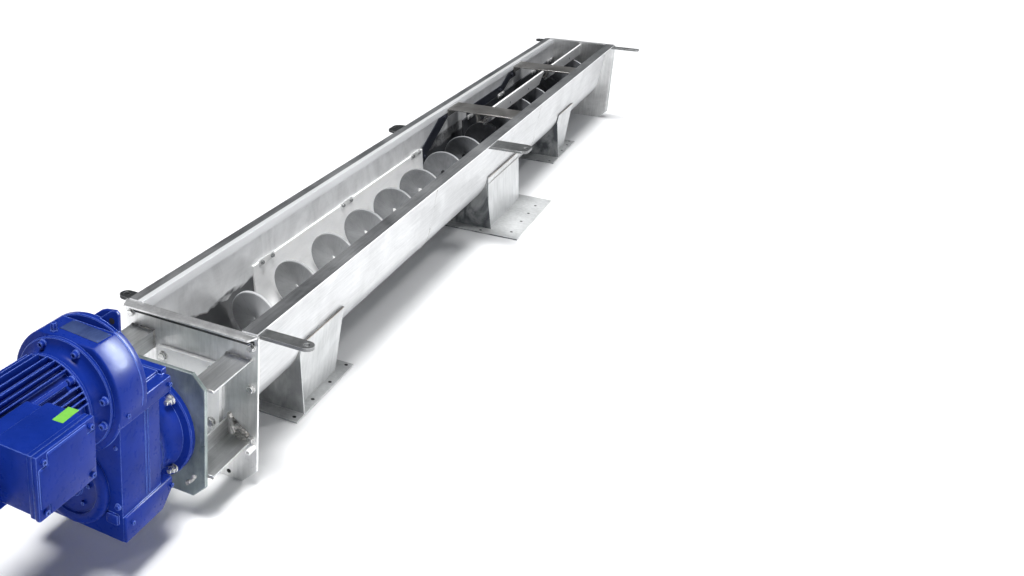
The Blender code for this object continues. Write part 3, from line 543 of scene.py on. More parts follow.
def put_side_box(shape, side, inner, outer, y, z, bevel):
    """A box on one side, from an inner to an outer half width, over ranges of Y and Z."""
    near, far = sorted((side * inner, side * outer))
    put_box(shape, (near, y[0], z[0]), (far, y[1], z[1]), bevel=bevel)


def soften(shape, faces, width):
    """Rounds the sharp edges of the faces of one form."""
    bmesh.ops.recalc_face_normals(shape, faces=faces)
    sharp = dict.fromkeys(
        edge for face in faces for edge in face.edges if edge.calc_face_angle(0.0) > radians(35))
    bmesh.ops.bevel(
        shape, geom=list(sharp), offset=width, segments=3, affect="EDGES", profile=0.5, clamp_overlap=True)


def put_prism(shape, outline, start, end, bevel, along="Y"):
    """Adds an outline in X and Z, extruded along Y, or one in Y and Z, extruded along X."""
    spots = [[(u, reach, v) if along == "Y" else (reach, u, v) for u, v in outline] for reach in (start, end)]
    near, far = [[shape.verts.new(spot) for spot in side] for side in spots]
    faces = [shape.faces.new(near), shape.faces.new(far[::-1])]
    for i in range(len(outline)):
        j = (i + 1) % len(outline)
        faces.append(shape.faces.new((near[j], near[i], far[i], far[j])))
    soften(shape, faces, bevel)


def clipped(outline, inside):
    """The part of an outline where inside is not negative."""
    kept = []
    for first, second in zip(outline, outline[1:] + outline[:1]):
        here, there = inside(first), inside(second)
        if here >= 0:
            kept.append(first)
        if (here >= 0) != (there >= 0):
            share = here / (here - there)
            kept.append(tuple(a + (b - a) * share for a, b in zip(first, second)))
    return kept


def new_object(name, data):
    item = bpy.data.objects.new(name, data)
    bpy.context.scene.collection.objects.link(item)
    return item


def as_object(name, shape):
    bmesh.ops.recalc_face_normals(shape, faces=shape.faces)
    mesh = bpy.data.meshes.new(name)
    shape.to_mesh(mesh)
    shape.free()
    return new_object(name, mesh)


def finished(name, shape, material, body=FIXED, replaced=(), smooth=35):
    """A piece of the scene: its mesh, finish, body, and the nodes that it stands for."""
    item = as_object(name, shape)
    item.data.materials.append(material)
    item.data.shade_smooth()
    item.data.set_sharp_from_angle(angle=radians(smooth))
    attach(item, body)
    if replaced:
        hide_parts(*replaced)
    return item


def dressed(node, material, bevel, body=FIXED):
    """The solid's own shape, with whole faces, smooth round stretches and softened edges."""
    shape = bmesh.new()
    shape.from_mesh(frame["nodes"][node].data)
    bmesh.ops.remove_doubles(shape, verts=shape.verts, dist=0.00002)
    bmesh.ops.dissolve_limit(shape, angle_limit=radians(0.6), verts=shape.verts, edges=shape.edges)
    item = finished(node + "_dressed", shape, material, body, (node,), 32)
    rounding = item.modifiers.new("rounded_edges", "BEVEL")
    rounding.width = bevel
    rounding.segments = 2
    rounding.limit_method = "ANGLE"
    rounding.angle_limit = radians(35)


def put_bolt(shape, point, normal, size, turn=0.3, tail=0.0):
    """A hexagon head with a domed top on a washer, or a nut with its thread standing out."""
    place = place_on(point, normal, turn)
    base = 0.2 * size
    put_turned(
        shape, [(1.06 * size, 0.0), (1.06 * size, 0.75 * base), (1.0 * size, base), (0, base)], place, 20)
    top = base + 0.66 * size
    put_turned(
        shape, [(0.9 * size, base), (0.9 * size, top - 0.1 * size), (0.78 * size, top), (0, top)], place, 6)
    if tail:
        put_turned(
            shape, [(0.5 * size, top - 0.001), (0.5 * size, top + tail - 0.1 * size),
            (0.4 * size, top + tail), (0, top + tail)], place, 12)


def put_socket_screw(shape, point, normal, size):
    put_turned(
        shape, [(0.8 * size, 0.0), (0.8 * size, 0.8 * size), (0.7 * size, 0.95 * size),
        (0.42 * size, 0.95 * size), (0.4 * size, 0.5 * size), (0, 0.5 * size)], place_on(point, normal), 16)


def bolts(name, places, size, material=SHINY, tail=0.0):
    shape = bmesh.new()
    for index, (point, normal) in enumerate(places):
        put_bolt(shape, point, normal, size, 0.35 + 0.7 * index, tail)
    finished(name, shape, material, smooth=25)


def put_bead(shape, points, radius, seed):
    """A weld bead along a line: a low tube with fine ripples, closed at both ends."""
    line = [Vector(p) for p in points]
    dense = []
    for first, second in zip(line, line[1:]):
        count = max(2, round((second - first).length / (0.5 * radius)))
        dense += [first.lerp(second, i / count) for i in range(count)]
    dense.append(line[-1])
    sides = 8
    flatness = 0.6
    rings = []
    for index, point in enumerate(dense):
        way = (dense[min(index + 1, len(dense) - 1)] - dense[max(index - 1, 0)]).normalized()
        across = way.orthogonal().normalized()
        other = way.cross(across)
        ripple = 1.0 + 0.05 * sin(1.9 * index + seed) + 0.3 * noise.noise((0.35 * index, seed, 0.5))
        end = 0.45 if index in (0, len(dense) - 1) else 1.0
        size = radius * ripple * end
        drift = 0.35 * radius * noise.noise((0.22 * index, 7.0, seed))
        rings.append([shape.verts.new(point + across * (size * cos(2 * pi * k / sides) + drift)
                                      + other * size * flatness * sin(2 * pi * k / sides))
                      for k in range(sides)])
    for first, second in zip(rings, rings[1:]):
        for k in range(sides):
            m = (k + 1) % sides
            shape.faces.new((first[k], first[m], second[m], second[k]))
    shape.faces.new(rings[0][::-1])
    shape.faces.new(rings[-1])


def beads(name, paths, radius, material=WELD):
    shape = bmesh.new()
    for index, path in enumerate(paths):
        put_bead(shape, path, radius, 1.7 * index + 0.4)
    finished(name, shape, material, smooth=60)


def discs(name, places, radius):
    """Round holes, shown as dark discs just above the sheet: painted shade in place of their insides."""
    height = 0.0004
    shape = bmesh.new()
    for point, normal in places:
        put_turned(shape, [(radius, 0.0), (radius, height), (0, height)], place_on(point, normal), 20)
    finished(name, shape, HOLE)


def arc_under(radius, y, angles):
    """Points round the trough's bottom, downwards with the angle; a negative radius is the left side."""
    return [(radius * cos(radians(d)), y, AXIS_Z - abs(radius) * sin(radians(d))) for d in angles]


# Trough, rails, ends and spouts

def dress_sheets():
    for index in (1, 2, 3):
        dressed("trough_bay_%d" % index, TROUGH, 0.0005)
        dressed("spout_%d" % index, SPOUT, 0.0008)
    for side in ("left", "right"):
        dressed("top_rail_" + side, RAIL, 0.0008)
        for index in (1, 2, 3):
            # The left lugs take the darker copy of the plate: painted shade.
            dressed("lifting_lug_%s_%d" % (side, index), SHADED_PLATE if side == "left" else PLATE, 0.0012)
        for index in (1, 2):
            dressed("liner_strap_%s_%d" % (side, index), STRAP, 0.0006)
        for level in ("top", "bottom"):
            dressed("lantern_strut_%s_%s" % (level, side), SHEET_Y, 0.001)
    for end in ("drive", "tail"):
        dressed("end_plate_" + end, SHEET_Z, 0.001)
        dressed("end_flange_" + end, SHEET_Z, 0.0008)
    for index in (1, 2):
        dressed("crossbar_%d" % index, SHEET_X, 0.001)
        dressed("hold_down_rail_%d" % index, WHITE, 0.0015)
    dressed("liner_front", WHITE, 0.0008)
    dressed("liner_rear", BLACK, 0.0008)
    dressed("motor_plate", ZINC, 0.0022)
    dressed("seal_plate", WHITE, 0.0025)
    dressed("drive_shaft", BAR, 0.001, TURNING)


def spiral():
    """The bar wound on edge, with finely rounded edges; its UV runs along the bar and across it."""
    shape = bmesh.new()
    unrolled = shape.loops.layers.uv.new("UVMap")
    inner, outer, half, edge = SPIRAL_INNER, SPIRAL_OUTER, SPIRAL_HALF, SPIRAL_EDGE
    middle = (inner + outer) / 2
    section = [
        (inner, -half + edge), (inner + edge, -half), (middle, -half), (outer - edge, -half),
        (outer, -half + edge), (outer, half - edge), (outer - edge, half), (middle, half),
        (inner + edge, half), (inner, half - edge)]
    turns = (SPIRAL_END - SPIRAL_START) / SPIRAL_PITCH
    steps = round(turns * SPIRAL_STEPS)
    rings = []
    for index in range(steps + 1):
        angle = SPIRAL_PHASE - 2 * pi * turns * index / steps
        rise = (SPIRAL_END - SPIRAL_START) * index / steps
        rings.append(
            [shape.verts.new((radius * cos(angle), SPIRAL_START + rise + along, AXIS_Z - radius * sin(angle)))
            for radius, along in section])
    for index, (first, second) in enumerate(zip(rings, rings[1:])):
        for k in range(len(section)):
            m = (k + 1) % len(section)
            face = shape.faces.new((first[k], first[m], second[m], second[k]))
            for loop, (u, v) in zip(face.loops, ((index, k), (index, m), (index + 1, m), (index + 1, k))):
                loop[unrolled].uv = (u / SPIRAL_STEPS, section[v][0] / outer)
    shape.faces.new(rings[0])
    shape.faces.new(rings[-1][::-1])
    finished("spiral_bar", shape, BAR, TURNING, ("spiral",), 40)


def drive_face():
    """Y of the drive end plate's outer face."""
    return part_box("end_plate_drive")[1].y - END_PLATE_THICK


def end_plate_details():
    front = drive_face()
    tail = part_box("end_plate_tail")[0].y + END_PLATE_THICK
    ends = (("drive", front, DRIVE_WARD), ("tail", tail, TAIL_WARD))
    for name, y, way in ends:
        places = [((side * END_BOLT_X, y, z), way) for side in SIDES for z in END_BOLT_Z]
        bolts("end_plate_bolts_" + name, places, 0.012)
    across, height = END_HOLE
    holes = [((side * across, y, height), way) for name, y, way in ends for side in SIDES]
    discs("end_plate_holes", holes, 0.0065)
    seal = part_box("seal_plate")[0].y
    bolts(
        "seal_bolts", [((sx * SEAL_BOLT, seal, AXIS_Z + sz * SEAL_BOLT), DRIVE_WARD) for sx in SIDES
        for sz in SIDES], 0.0135)
    corners = []
    for y in (front - 0.001, tail + 0.001):
        for first, last in ((-0.2, -0.12), (0.12, 0.2)):
            corners.append([(first, y, LIP_WELD_Z), (last, y, LIP_WELD_Z)])
    beads("lip_welds", corners, 0.0026)
    # A dark strip just under the lip: painted shadow.
    across, low, high = LIP_SHADOW_SPAN
    shade = bmesh.new()
    put_box(shade, (-across, front - 0.0004, low), (across, front + 0.001, high))
    finished("lip_joint_smear", shade, PAINTED_LIP_SHADOW)


def lantern_details():
    """Welds round the struts, heavier at the lower ones, the pins below, and the flange's bolts and nuts."""
    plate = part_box("motor_plate")[1].y
    end = drive_face()
    paths = []
    for side in ("left", "right"):
        for level in ("top", "bottom"):
            low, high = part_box("lantern_strut_%s_%s" % (level, side))
            inner, outer = (low.x, high.x) if side == "right" else (high.x, low.x)
            flat, leg = (high.z, low.z) if level == "top" else (low.z, high.z)
            for y in (end - 0.002, plate + 0.002):
                paths.append([(outer, y, flat), (inner, y, flat), (inner, y, leg)])
    beads("lantern_welds", paths, 0.0042)
    lumps = (
        (end, ((0.126, -0.003, 0.207), (0.14, -0.004, 0.182), (0.154, -0.004, 0.16), (0.188, -0.004, 0.143))),
        (end, ((0.132, -0.003, 0.196), (0.15, -0.005, 0.178), (0.168, -0.004, 0.166), (0.19, -0.003, 0.153))),
        (end, ((0.138, -0.006, 0.176), (0.15, -0.007, 0.15), (0.178, -0.006, 0.137))),
        (plate, ((0.12, -0.014, 0.1), (0.134, -0.015, 0.112), (0.15, -0.014, 0.134))))
    beads(
        "heavy_welds", [[(side * x, face + y, z) for x, y, z in path] for side in SIDES
        for face, path in lumps], 0.0068)
    stub = bmesh.new()
    for side in SIDES:
        put_turned(
            stub, [(0.0078, 0.0), (0.0078, 0.03), (0.0062, 0.032), (0.005, 0.032), (0.005, 0.02), (0, 0.02)],
            place_on((side * PIN_PLACE[0], end, PIN_PLACE[1]), DRIVE_WARD), 16)
    finished("end_plate_pins", stub, WHITE)
    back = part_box("output_flange")[1].y - FLANGE_BACK
    spots = [(side * x, z) for side in SIDES for x, z in FLANGE_BOLTS]
    bolts("flange_nuts", [((x, back, z), DRIVE_WARD) for x, z in spots], 0.0135, tail=0.012)
    bolts("flange_bolts", [((x, plate, z), TAIL_WARD) for x, z in spots], 0.0135)


def inward(side):
    """Direction out of a leaning wall's inner face."""
    return Vector((-side * cos(WALL_LEAN), 0, sin(WALL_LEAN)))


def liner_clips():
    """Short strips over the liner's top edge, each with two bolts, on both walls."""
    strips = bmesh.new()
    places = []
    for side in SIDES:
        normal = inward(side)
        for y in CLIP_ROWS:
            centre = Vector((side * wall_x(-LINER_THICK - 0.0003, CLIP_HEIGHT), y, CLIP_HEIGHT))
            put_box(strips, -CLIP_HALF, CLIP_HALF,
                    Matrix.Translation(centre) @ Matrix.Rotation(side * WALL_LEAN, 4, "Y"), 0.0008)
            for along in (-CLIP_BOLT_REACH, CLIP_BOLT_REACH):
                places.append((centre + Vector((0, along, 0)) + normal * 0.0013, normal))
    finished("liner_clips", strips, CLIP)
    bolts("liner_clip_bolts", places, 0.0085, PLATE)


def strap_bolts():
    """Bolts through the straps and the crossbars' tabs, and the holes of the hold-down rails."""
    bolts(
        "strap_bolts", [(Vector((side * wall_x(-0.0044, z), y, z)), inward(side)) for side in SIDES
        for y, z in STRAP_BOLTS], 0.0085, STRAP)
    hangers = []
    for index in (1, 2):
        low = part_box("crossbar_%d" % index)[0]
        hangers.append(((0.005, low.y + 0.02, low.z + 0.0062), (0, 0, 1)))
        hangers.append(((0.0282, low.y + 0.02, low.z + 0.024), (1, 0, 0)))
    bolts("hanger_bolts", hangers, 0.0062)
    spots = [
        (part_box("hold_down_rail_%d" % index), y) for index, rows in HOLD_DOWN_HOLES.items() for y in rows]
    discs(
        "hold_down_holes", [((box[end].x, y, box[0].z + HOLD_DOWN_HOLE_RISE), (way, 0, 0))
        for end, way in ((1, 1), (0, -1)) for box, y in spots], 0.005)


def spout_details():
    """Bolt holes in the flanges and weld beads where the spouts meet the trough."""
    holes = []
    seams = []
    for index, (inset, rows, reach) in SPOUTS.items():
        low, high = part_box("spout_%d" % index)
        for side in SIDES:
            spots = [(side * (high.x - inset), y) for y in rows]
            spots += [(side * 0.145, y) for y in (low.y + 0.022, high.y - 0.018)]
            holes += [((x, y, SPOUT_FLANGE_TOP), (0, 0, 1)) for x, y in spots]
            x = side * (TROUGH_RADIUS + 0.0105)
            seams.append([(x, y, SPOUT_SEAM_Z) for y in reach])
            for y in (reach[0] - 0.001, reach[1] + 0.001):
                seams.append(arc_under(side * (TROUGH_RADIUS + 0.0035), y, range(12, 60, 8)))
    discs("spout_flange_holes", holes, 0.0062)
    beads("spout_welds", seams, 0.0036, STAIN)
    first, last, z = STITCHES
    beads(
        "spout_2_stitches", [[(side * (TROUGH_RADIUS + 0.0135), y, z) for y in (first, last)]
        for side in SIDES], 0.0012, STAIN)


def joint_welds():
    """Seams where the bays meet and where the lugs are welded on."""
    seams = []
    for node in ("trough_bay_1", "trough_bay_2"):
        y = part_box(node)[1].y
        for side in SIDES:
            seams.append([(side * wall_x(SHEET_OUT, SEAM_TOP), y, SEAM_TOP)]
                         + arc_under(side * (TROUGH_RADIUS + 0.0043), y, range(-5, 90, 8)))
    beads("bay_seams", seams, 0.0016)
    roots = []
    for side, word in zip(SIDES, ("left", "right")):
        x = side * wall_x(SHEET_OUT, 0.44)
        for index in (1, 2, 3):
            low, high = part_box("lifting_lug_%s_%d" % (word, index))
            roots.append([(x, low.y + 0.004, LUG_UNDERSIDE), (x, high.y - 0.004, LUG_UNDERSIDE)])
    beads("lug_welds", roots, 0.003)


# Gearmotor

def flat_top(x):
    """Height of the lobe's flat top."""
    (left, left_z), (right, right_z) = FLAT_LEFT, FLAT_RIGHT
    return left_z + (x - left) * (right_z - left_z) / (right - left)


def gear_case():
    """A case with bands along its top and bottom, a round lobe with a flat seat and a rim, and an eye."""
    shape = bmesh.new()
    put_box(shape, (-CASE_SIDE, CASE_REAR, CASE_LOW), (CASE_SIDE, CASE_FRONT, CASE_HIGH), bevel=0.006)
    put_turned(shape, [(NECK_RADIUS, 0.0), (NECK_RADIUS, 0.0355), (0.05, 0.0355)],
               place_on((0, CASE_FRONT - 0.002, AXIS_Z), TAIL_WARD), 80)
    for half, rear, front, low, high, bevel in ((BAND_SIDE, -0.4965, BAND_FRONT, 0.434, 0.476, 0.0045),
                                                (0.13, -0.318, -0.296, 0.458, 0.488, 0.004),
                                                (0.118, -0.39, -0.29, 0.47, 0.483, 0.004)):
        put_box(shape, (-half, rear, low), (half, front, high), bevel=bevel)
    low_band = [(-0.498, 0.125), (-0.35, 0.125), (-0.308, 0.165), (-0.308, 0.196), (-0.498, 0.196)]
    put_prism(shape, low_band, -BAND_SIDE, BAND_SIDE, 0.0045, "X")
    for side in SIDES:
        for y in (-0.4075, -0.396):
            put_side_box(shape, side, 0.14, 0.1465, (y, y + 0.003), (0.204, 0.43), 0.0012)
        put_side_box(shape, side, 0.095, 0.1502, (LOBE_REAR + 0.0005, -0.462), (0.436, 0.477), 0.005)
        put_side_box(shape, side, 0.098, 0.132, (-0.507, -0.49), (0.172, 0.2), 0.004)
    round_lobe = [around(LOBE_RADIUS, 2.5 * i, MOTOR_Z) for i in range(144)]
    seat = clipped(clipped(round_lobe, lambda p: flat_top(p[0]) - p[1]), lambda p: p[1] - LOBE_BOTTOM)
    put_prism(shape, seat, LOBE_REAR, LOBE_RIM_START + 0.002, 0.0045)
    length = LOBE_FRONT - LOBE_RIM_START
    step = STEP_FRONT - LOBE_RIM_START
    put_turned(
        shape, [(0.1515, 0.0), (LOBE_RADIUS, 0.0022), (LOBE_RADIUS, length - 0.0035),
        (LOBE_RADIUS - 0.0012, length - 0.001), (LOBE_RADIUS - 0.0035, length), (STEP_RADIUS, length),
        (STEP_RADIUS, step - 0.003), (STEP_RADIUS - 0.003, step), (0, step)],
        place_on((0, LOBE_RIM_START, MOTOR_Z), TAIL_WARD), 144)
    put_prism(shape, EYE_BLOCK, -0.4135, -0.407, 0.0018)
    put_prism(shape, EYE_WEB, -0.4075, -0.399, 0.0025)
    finished("gear_case_casting", shape, BLUE, replaced=("gear_case",), smooth=40)
    # Dark discs at the eye's ends: painted shade in the bore.
    ring = bmesh.new()
    for y, way in ((-0.4137, DRIVE_WARD), (-0.3988, TAIL_WARD)):
        put_turned(ring, [(0.0078, 0.0), (0.0078, 0.0005), (0, 0.0005)],
                   place_on((EYE_HOLE[0], y, EYE_HOLE[1]), way), 24)
    finished("eye_bore", ring, HOLE)


def case_fittings():
    """Screws, plugs, the bare nameplate and the breather on the case."""
    screws = bmesh.new()
    for side in SIDES:
        for y, z in ((-0.479, 0.4585), (-0.3165, 0.456), (-0.3165, 0.176), (-0.474, 0.17)):
            put_socket_screw(screws, (side * (BAND_SIDE - 0.0005), y, z), (side, 0, 0), 0.0072)
        for x, z, size in ((0.131, 0.222, 0.0085), (0.13, 0.378, 0.005)):
            put_bolt(screws, (side * x, CASE_REAR + 0.0005, z), DRIVE_WARD, size)
    finished("case_screws", screws, BLUE, smooth=25)
    plate = bmesh.new()
    across, along = NAMEPLATE_AT
    slope = atan2(FLAT_LEFT[1] - FLAT_RIGHT[1], FLAT_RIGHT[0] - FLAT_LEFT[0])
    here = (Matrix.Translation((across, along, flat_top(across) + 0.0006)) @ Matrix.Rotation(slope, 4, "Y")
            @ Matrix.Rotation(radians(-3.5), 4, "Z"))
    put_box(plate, (-0.0575, -0.0235, -0.001), (0.0575, 0.0235, 0.0008), here, 0.0004)
    finished("bare_nameplate", plate, NAMEPLATE)
    rivets = bmesh.new()
    for x in (-0.053, 0.053):
        for y in (-0.019, 0.019):
            put_turned(rivets, [(0.0022, 0.0), (0.0019, 0.0008), (0.001, 0.0012), (0, 0.0013)],
                       here @ Matrix.Translation((x, y, 0.0007)), 12)
    finished("nameplate_rivets", rivets, BLUE)
    breather = bmesh.new()
    low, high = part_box("breather_plug")
    seat = Matrix.Translation(((low.x + high.x) / 2, (low.y + high.y) / 2, low.z - 0.002))
    put_turned(
        breather, [(0.01, 0.0), (0.01, 0.004), (0.007, 0.005), (0.007, 0.009), (0.0086, 0.01),
        (0.0086, 0.016), (0.006, 0.0215), (0, 0.0215)], seat, 6)
    finished("breather_cap", breather, BLUE, replaced=("breather_plug",), smooth=25)


def turned_piece(name, profile, y, z, way, node):
    """A casting in a node's place: (radius, distance from y) points turned round an axis along Y."""
    shape = bmesh.new()
    put_turned(shape, profile, place_on((0, y, z), way), 96)
    return finished(name, shape, BLUE, replaced=(node,))


def output_side():
    """The neck and round flange in front of the case, and the stepped cover behind it."""
    low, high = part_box("output_flange")
    length = high.y - low.y
    profile = [
        (NECK_RADIUS, 0.0), (NECK_RADIUS, 0.01), (0.121, 0.018), (0.1175, 0.026), (0.116, 0.048),
        (0.118, 0.068), (0.126, length - 0.0215), (0.14, length - 0.02), (0.147, length - 0.0195),
        (0.15, length - 0.0165), (0.15, length - 0.0025), (0.1475, length), (0.0308, length), (0.0308, 0.0)]
    turned_piece("output_flange_casting", profile + profile[:1], low.y, AXIS_Z, TAIL_WARD, "output_flange")
    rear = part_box("output_bearing_cover")[1].y
    profile = [(0.108, 0.0), (0.108, 0.008), (0.1065, 0.012), (0.102, 0.016), (0.096, 0.018), (0.086, 0.018),
               (0.08, 0.016), (0.077, 0.01), (0.074, 0.0085), (0.036, 0.0085), (0.034, 0.0125), (0, 0.0125)]
    turned_piece("output_cover_casting", profile, rear, AXIS_Z, DRIVE_WARD, "output_bearing_cover")
    screws = bmesh.new()
    radius, count = COVER_SCREWS
    for index in range(count):
        x, z = around(radius, 10 + 360 * index / count, AXIS_Z)
        put_socket_screw(screws, (x, rear - 0.0083, z), DRIVE_WARD, 0.007)
    finished("output_cover_screws", screws, BLUE)


def put_fin(shape, angle, thick, tip, start, end, rounding):
    """A fin along the motor, standing out from the housing at an angle in degrees."""
    place = Matrix.Translation((0, 0, MOTOR_Z)) @ Matrix.Rotation(-radians(angle), 4, "Y")
    put_box(shape, (0.098, start, -thick / 2), (tip, end, thick / 2), place, rounding)


def motor():
    """End shield with its bolted flange, finned housing and fan cowl with its grille."""
    shield_rear, shield_front = [corner.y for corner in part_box("motor_end_shield")]
    profile = [
        (0.1375, 0.0), (0.1375, 0.0075), (0.1355, 0.01), (0.124, 0.0108), (0.116, 0.014), (0.109, 0.02),
        (0.1055, 0.029), (0.1055, 0.038), (0.109, 0.0435), (0.1145, 0.0465), (0.116, 0.048), (0.116, 0.055),
        (0.1145, 0.0564), (0.03, 0.0564)]
    shield = turned_piece(
        "motor_shield_casting", profile, shield_front, MOTOR_Z, DRIVE_WARD, "motor_end_shield")
    for vert in shield.data.vertices:
        vert.co.z = max(vert.co.z, LOBE_BOTTOM)
    low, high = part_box("motor_housing")
    shape = bmesh.new()
    put_turned(shape, [(0.1035, 0.0), (0.1035, high.y - low.y), (0, high.y - low.y)],
               place_on((0, low.y, MOTOR_Z), TAIL_WARD), 96)
    below = tuple(-angle for angle in FIN_ANGLES[3:12])
    for angle in FIN_ANGLES + below + LEFT_FIN_ANGLES:
        put_fin(shape, angle, 0.0028, 0.1205, low.y, high.y - 0.001, 0.0008)
    for angle in RIB_ANGLES:
        put_fin(shape, angle, 0.012, 0.119, low.y, high.y - 0.026, 0.0025)
    put_box(
        shape, (0.06, low.y + 0.004, MOTOR_Z - 0.033), (0.1103, high.y - 0.02, MOTOR_Z + 0.036), bevel=0.004)
    put_box(shape, (0.06, -0.845, 0.462), (0.1103, -0.698, 0.584), bevel=0.004)
    finished("motor_fins", shape, BLUE, replaced=("motor_housing",), smooth=30)
    low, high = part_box("motor_fan_cowl")
    length = high.y - low.y
    profile = [
        (0.122, 0.0), (0.124, 0.003), (0.124, length - 0.03), (0.121, length - 0.014),
        (0.113, length - 0.004), (0.102, length), (0.04, length), (0.036, length - 0.003),
        (0.0, length - 0.003)]
    turned_piece("fan_cowl_shell", profile, high.y, MOTOR_Z, DRIVE_WARD, "motor_fan_cowl")
    # Dark slots in the cowl's end: painted shade in the grille's openings.
    slots = bmesh.new()
    for ring, (radius, count) in enumerate(GRILLE_RINGS):
        for index in range(count):
            angle = 2 * pi * (index + 0.5 * ring) / count
            here = (Matrix.Translation((radius * cos(angle), low.y, MOTOR_Z + radius * sin(angle)))
                    @ Matrix.Rotation(-angle, 4, "Y"))
            put_box(slots, (-0.0065, 0.0, -0.0042), (0.0065, 0.002, 0.0042), here)
    finished("fan_grille_slots", slots, HOLE)
    screws = bmesh.new()
    for degrees in range(45, 360, 90):
        x, z = around(1.0, degrees, 0.0)
        put_socket_screw(
            screws, (COWL_SCREWS * x, high.y - 0.012, MOTOR_Z + COWL_SCREWS * z), (x, 0, z), 0.0045)
    radius, angles = SHIELD_SCREWS
    for degrees in angles:
        x, z = around(radius, degrees, MOTOR_Z)
        put_turned(
            screws, [(0.0105, -0.002), (0.0105, 0.003), (0.0085, 0.0035), (0.008, 0.0125), (0.0068, 0.0138),
            (0.004, 0.0138), (0.0038, 0.008), (0, 0.008)],
            place_on((x, shield_front - 0.0104, z), DRIVE_WARD), 20)
    for degrees in RIB_ANGLES:
        x, z = around(SHIELD_LUGS, degrees, MOTOR_Z)
        put_turned(
            screws, [(0.01, 0.0), (0.01, 0.004), (0.0085, 0.005), (0.008, 0.017), (0.0065, 0.0185),
            (0, 0.0185)], place_on((x, shield_rear + 0.001, z), DRIVE_WARD), 20)
    finished("motor_screws", screws, BLUE, smooth=25)


def terminal_box():
    """The box, the lid with its raised panel and recessed corner screws, and a bare label."""
    low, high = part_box("terminal_box")
    top = high.z
    body = bmesh.new()
    put_box(body, low, (high.x - 0.002, high.y, high.z), bevel=0.007)
    put_box(body, (high.x - 0.012, low.y - 0.002, low.z - 0.002), (high.x, high.y + 0.002, high.z + 0.002),
            bevel=0.002)
    finished("terminal_box_body", body, BLUE, replaced=("terminal_box",))
    low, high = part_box("terminal_box_lid")
    lid = bmesh.new()
    put_box(lid, low, (high.x - 0.004, high.y, high.z), bevel=0.0048)
    edge, notch = 0.0055, 0.024
    (y0, y1), (z0, z1) = (low.y + edge, high.y - edge), (low.z + edge, high.z - edge)
    panel = [
        (y0, z0 + notch), (y0 + notch, z0 + notch), (y0 + notch, z0), (y1 - notch, z0),
        (y1 - notch, z0 + notch), (y1, z0 + notch), (y1, z1 - notch), (y1 - notch, z1 - notch),
        (y1 - notch, z1), (y0 + notch, z1), (y0 + notch, z1 - notch), (y0, z1 - notch)]
    put_prism(lid, panel, high.x - 0.01, high.x, 0.0022, "X")
    finished("terminal_box_cover", lid, BLUE, replaced=("terminal_box_lid",))
    screws = bmesh.new()
    inset = 0.0165
    for y in (low.y + inset, high.y - inset):
        for z in (low.z + inset, high.z - inset):
            put_socket_screw(screws, (high.x - 0.0045, y, z), (1, 0, 0), 0.008)
    finished("lid_screws", screws, BLUE)
    label = bmesh.new()
    here = Matrix.Translation((*LABEL_AT, top + 0.0001)) @ Matrix.Rotation(radians(3), 4, "Z")
    put_box(label, (-0.0133, -0.0268, 0.0), (0.0133, 0.0268, 0.0004), here)
    finished("plain_label", label, LABEL)


# Studio

def put_lamp(name, kind, power, size=None):
    """A lamp's object; an area lamp has a width and a height too."""
    lamp = bpy.data.lights.new(name, kind)
    lamp.energy = power
    if size:
        lamp.shape = "RECTANGLE"
        lamp.size, lamp.size_y = size
    return new_object(name, lamp)


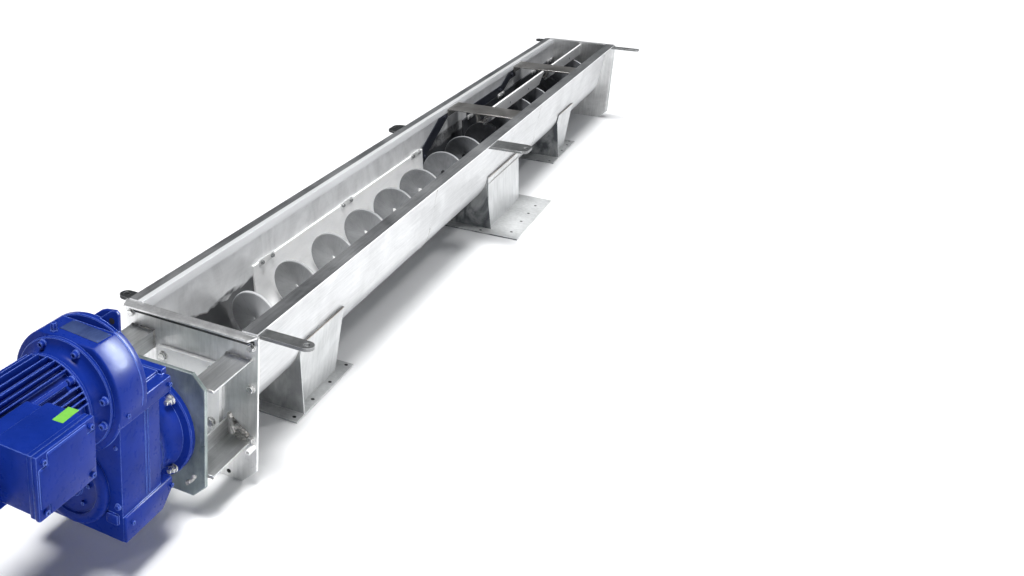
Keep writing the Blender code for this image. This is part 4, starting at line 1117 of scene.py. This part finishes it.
def studio():
    shape = bmesh.new()
    corners = ((-1, -1), (1, -1), (1, 1), (-1, 1))
    shape.faces.new([shape.verts.new((FLOOR_HALF * x, FLOOR_HALF * y + 1.5, FLOOR_Z)) for x, y in corners])
    floor = as_object("studio_floor", shape)
    floor.data.materials.append(FLOOR)
    for name, place, target, size, power in AREA_LIGHTS:
        item = put_lamp(name, "AREA", power, size)
        item.location = place
        item.rotation_euler = (Vector(target) - Vector(place)).to_track_quat("-Z", "Y").to_euler()
    back = (SOFTBOX_PLACE - SOFTBOX_TARGET).normalized()
    side = (SOFTBOX_LENGTHWISE - back * back.dot(SOFTBOX_LENGTHWISE)).normalized()
    softbox = put_lamp("casting_softbox", "AREA", SOFTBOX_POWER, SOFTBOX_SIZE)
    softbox.data.color = SOFTBOX_COLOUR
    softbox.matrix_world = (
        Matrix.Translation(SOFTBOX_PLACE) @ Matrix((side, back.cross(side), back)).transposed().to_4x4())
    softbox.visible_diffuse = False
    castings = bpy.data.collections.new("round_castings")
    for name in ("gear_case_casting", "output_flange_casting"):
        castings.objects.link(bpy.data.objects[name])
    softbox.light_linking.receiver_collection = castings
    key = put_lamp("key", "SUN", KEY_STRENGTH)
    key.data.angle = KEY_ANGLE
    key.rotation_euler = Vector(KEY_FROM).to_track_quat("Z", "Y").to_euler()
    world = bpy.data.worlds.new("studio")
    bpy.context.scene.world = world
    world.use_nodes = True
    tree = world.node_tree
    way = add(tree, "SeparateXYZ", {"Vector": add(tree, "TexCoord").outputs["Generated"]}).outputs
    band = blend(spread(way["X"], 0.1, 0.7), SKY_LEFT, SKY_RIGHT)
    sky = blend(spread(way["Z"], 0.06, 0.24), band, ZENITH)
    tree.links.new(sky, tree.nodes["Background"].inputs["Color"])
    bpy.context.scene.view_settings.view_transform = "Standard"


def camera():
    data = bpy.data.cameras.new("camera")
    data.sensor_width = CAMERA_SENSOR
    data.lens = CAMERA_LENS
    data.shift_x, data.shift_y = CAMERA_SHIFT
    data.clip_end = CAMERA_REACH
    forward = Vector(
        (sin(CAMERA_YAW) * cos(CAMERA_PITCH), cos(CAMERA_YAW) * cos(CAMERA_PITCH), -sin(CAMERA_PITCH)))
    level = Vector((cos(CAMERA_YAW), -sin(CAMERA_YAW), 0.0))
    right = cos(CAMERA_ROLL) * level + sin(CAMERA_ROLL) * level.cross(forward)
    up = right.cross(forward)
    item = new_object("camera", data)
    item.matrix_world = Matrix.Translation(CAMERA_PLACE) @ Matrix((right, up, -forward)).transposed().to_4x4()
    bpy.context.scene.camera = item


dress_sheets()
spiral()
end_plate_details()
lantern_details()
liner_clips()
strap_bolts()
spout_details()
joint_welds()
gear_case()
case_fittings()
output_side()
motor()
terminal_box()
studio()
camera()
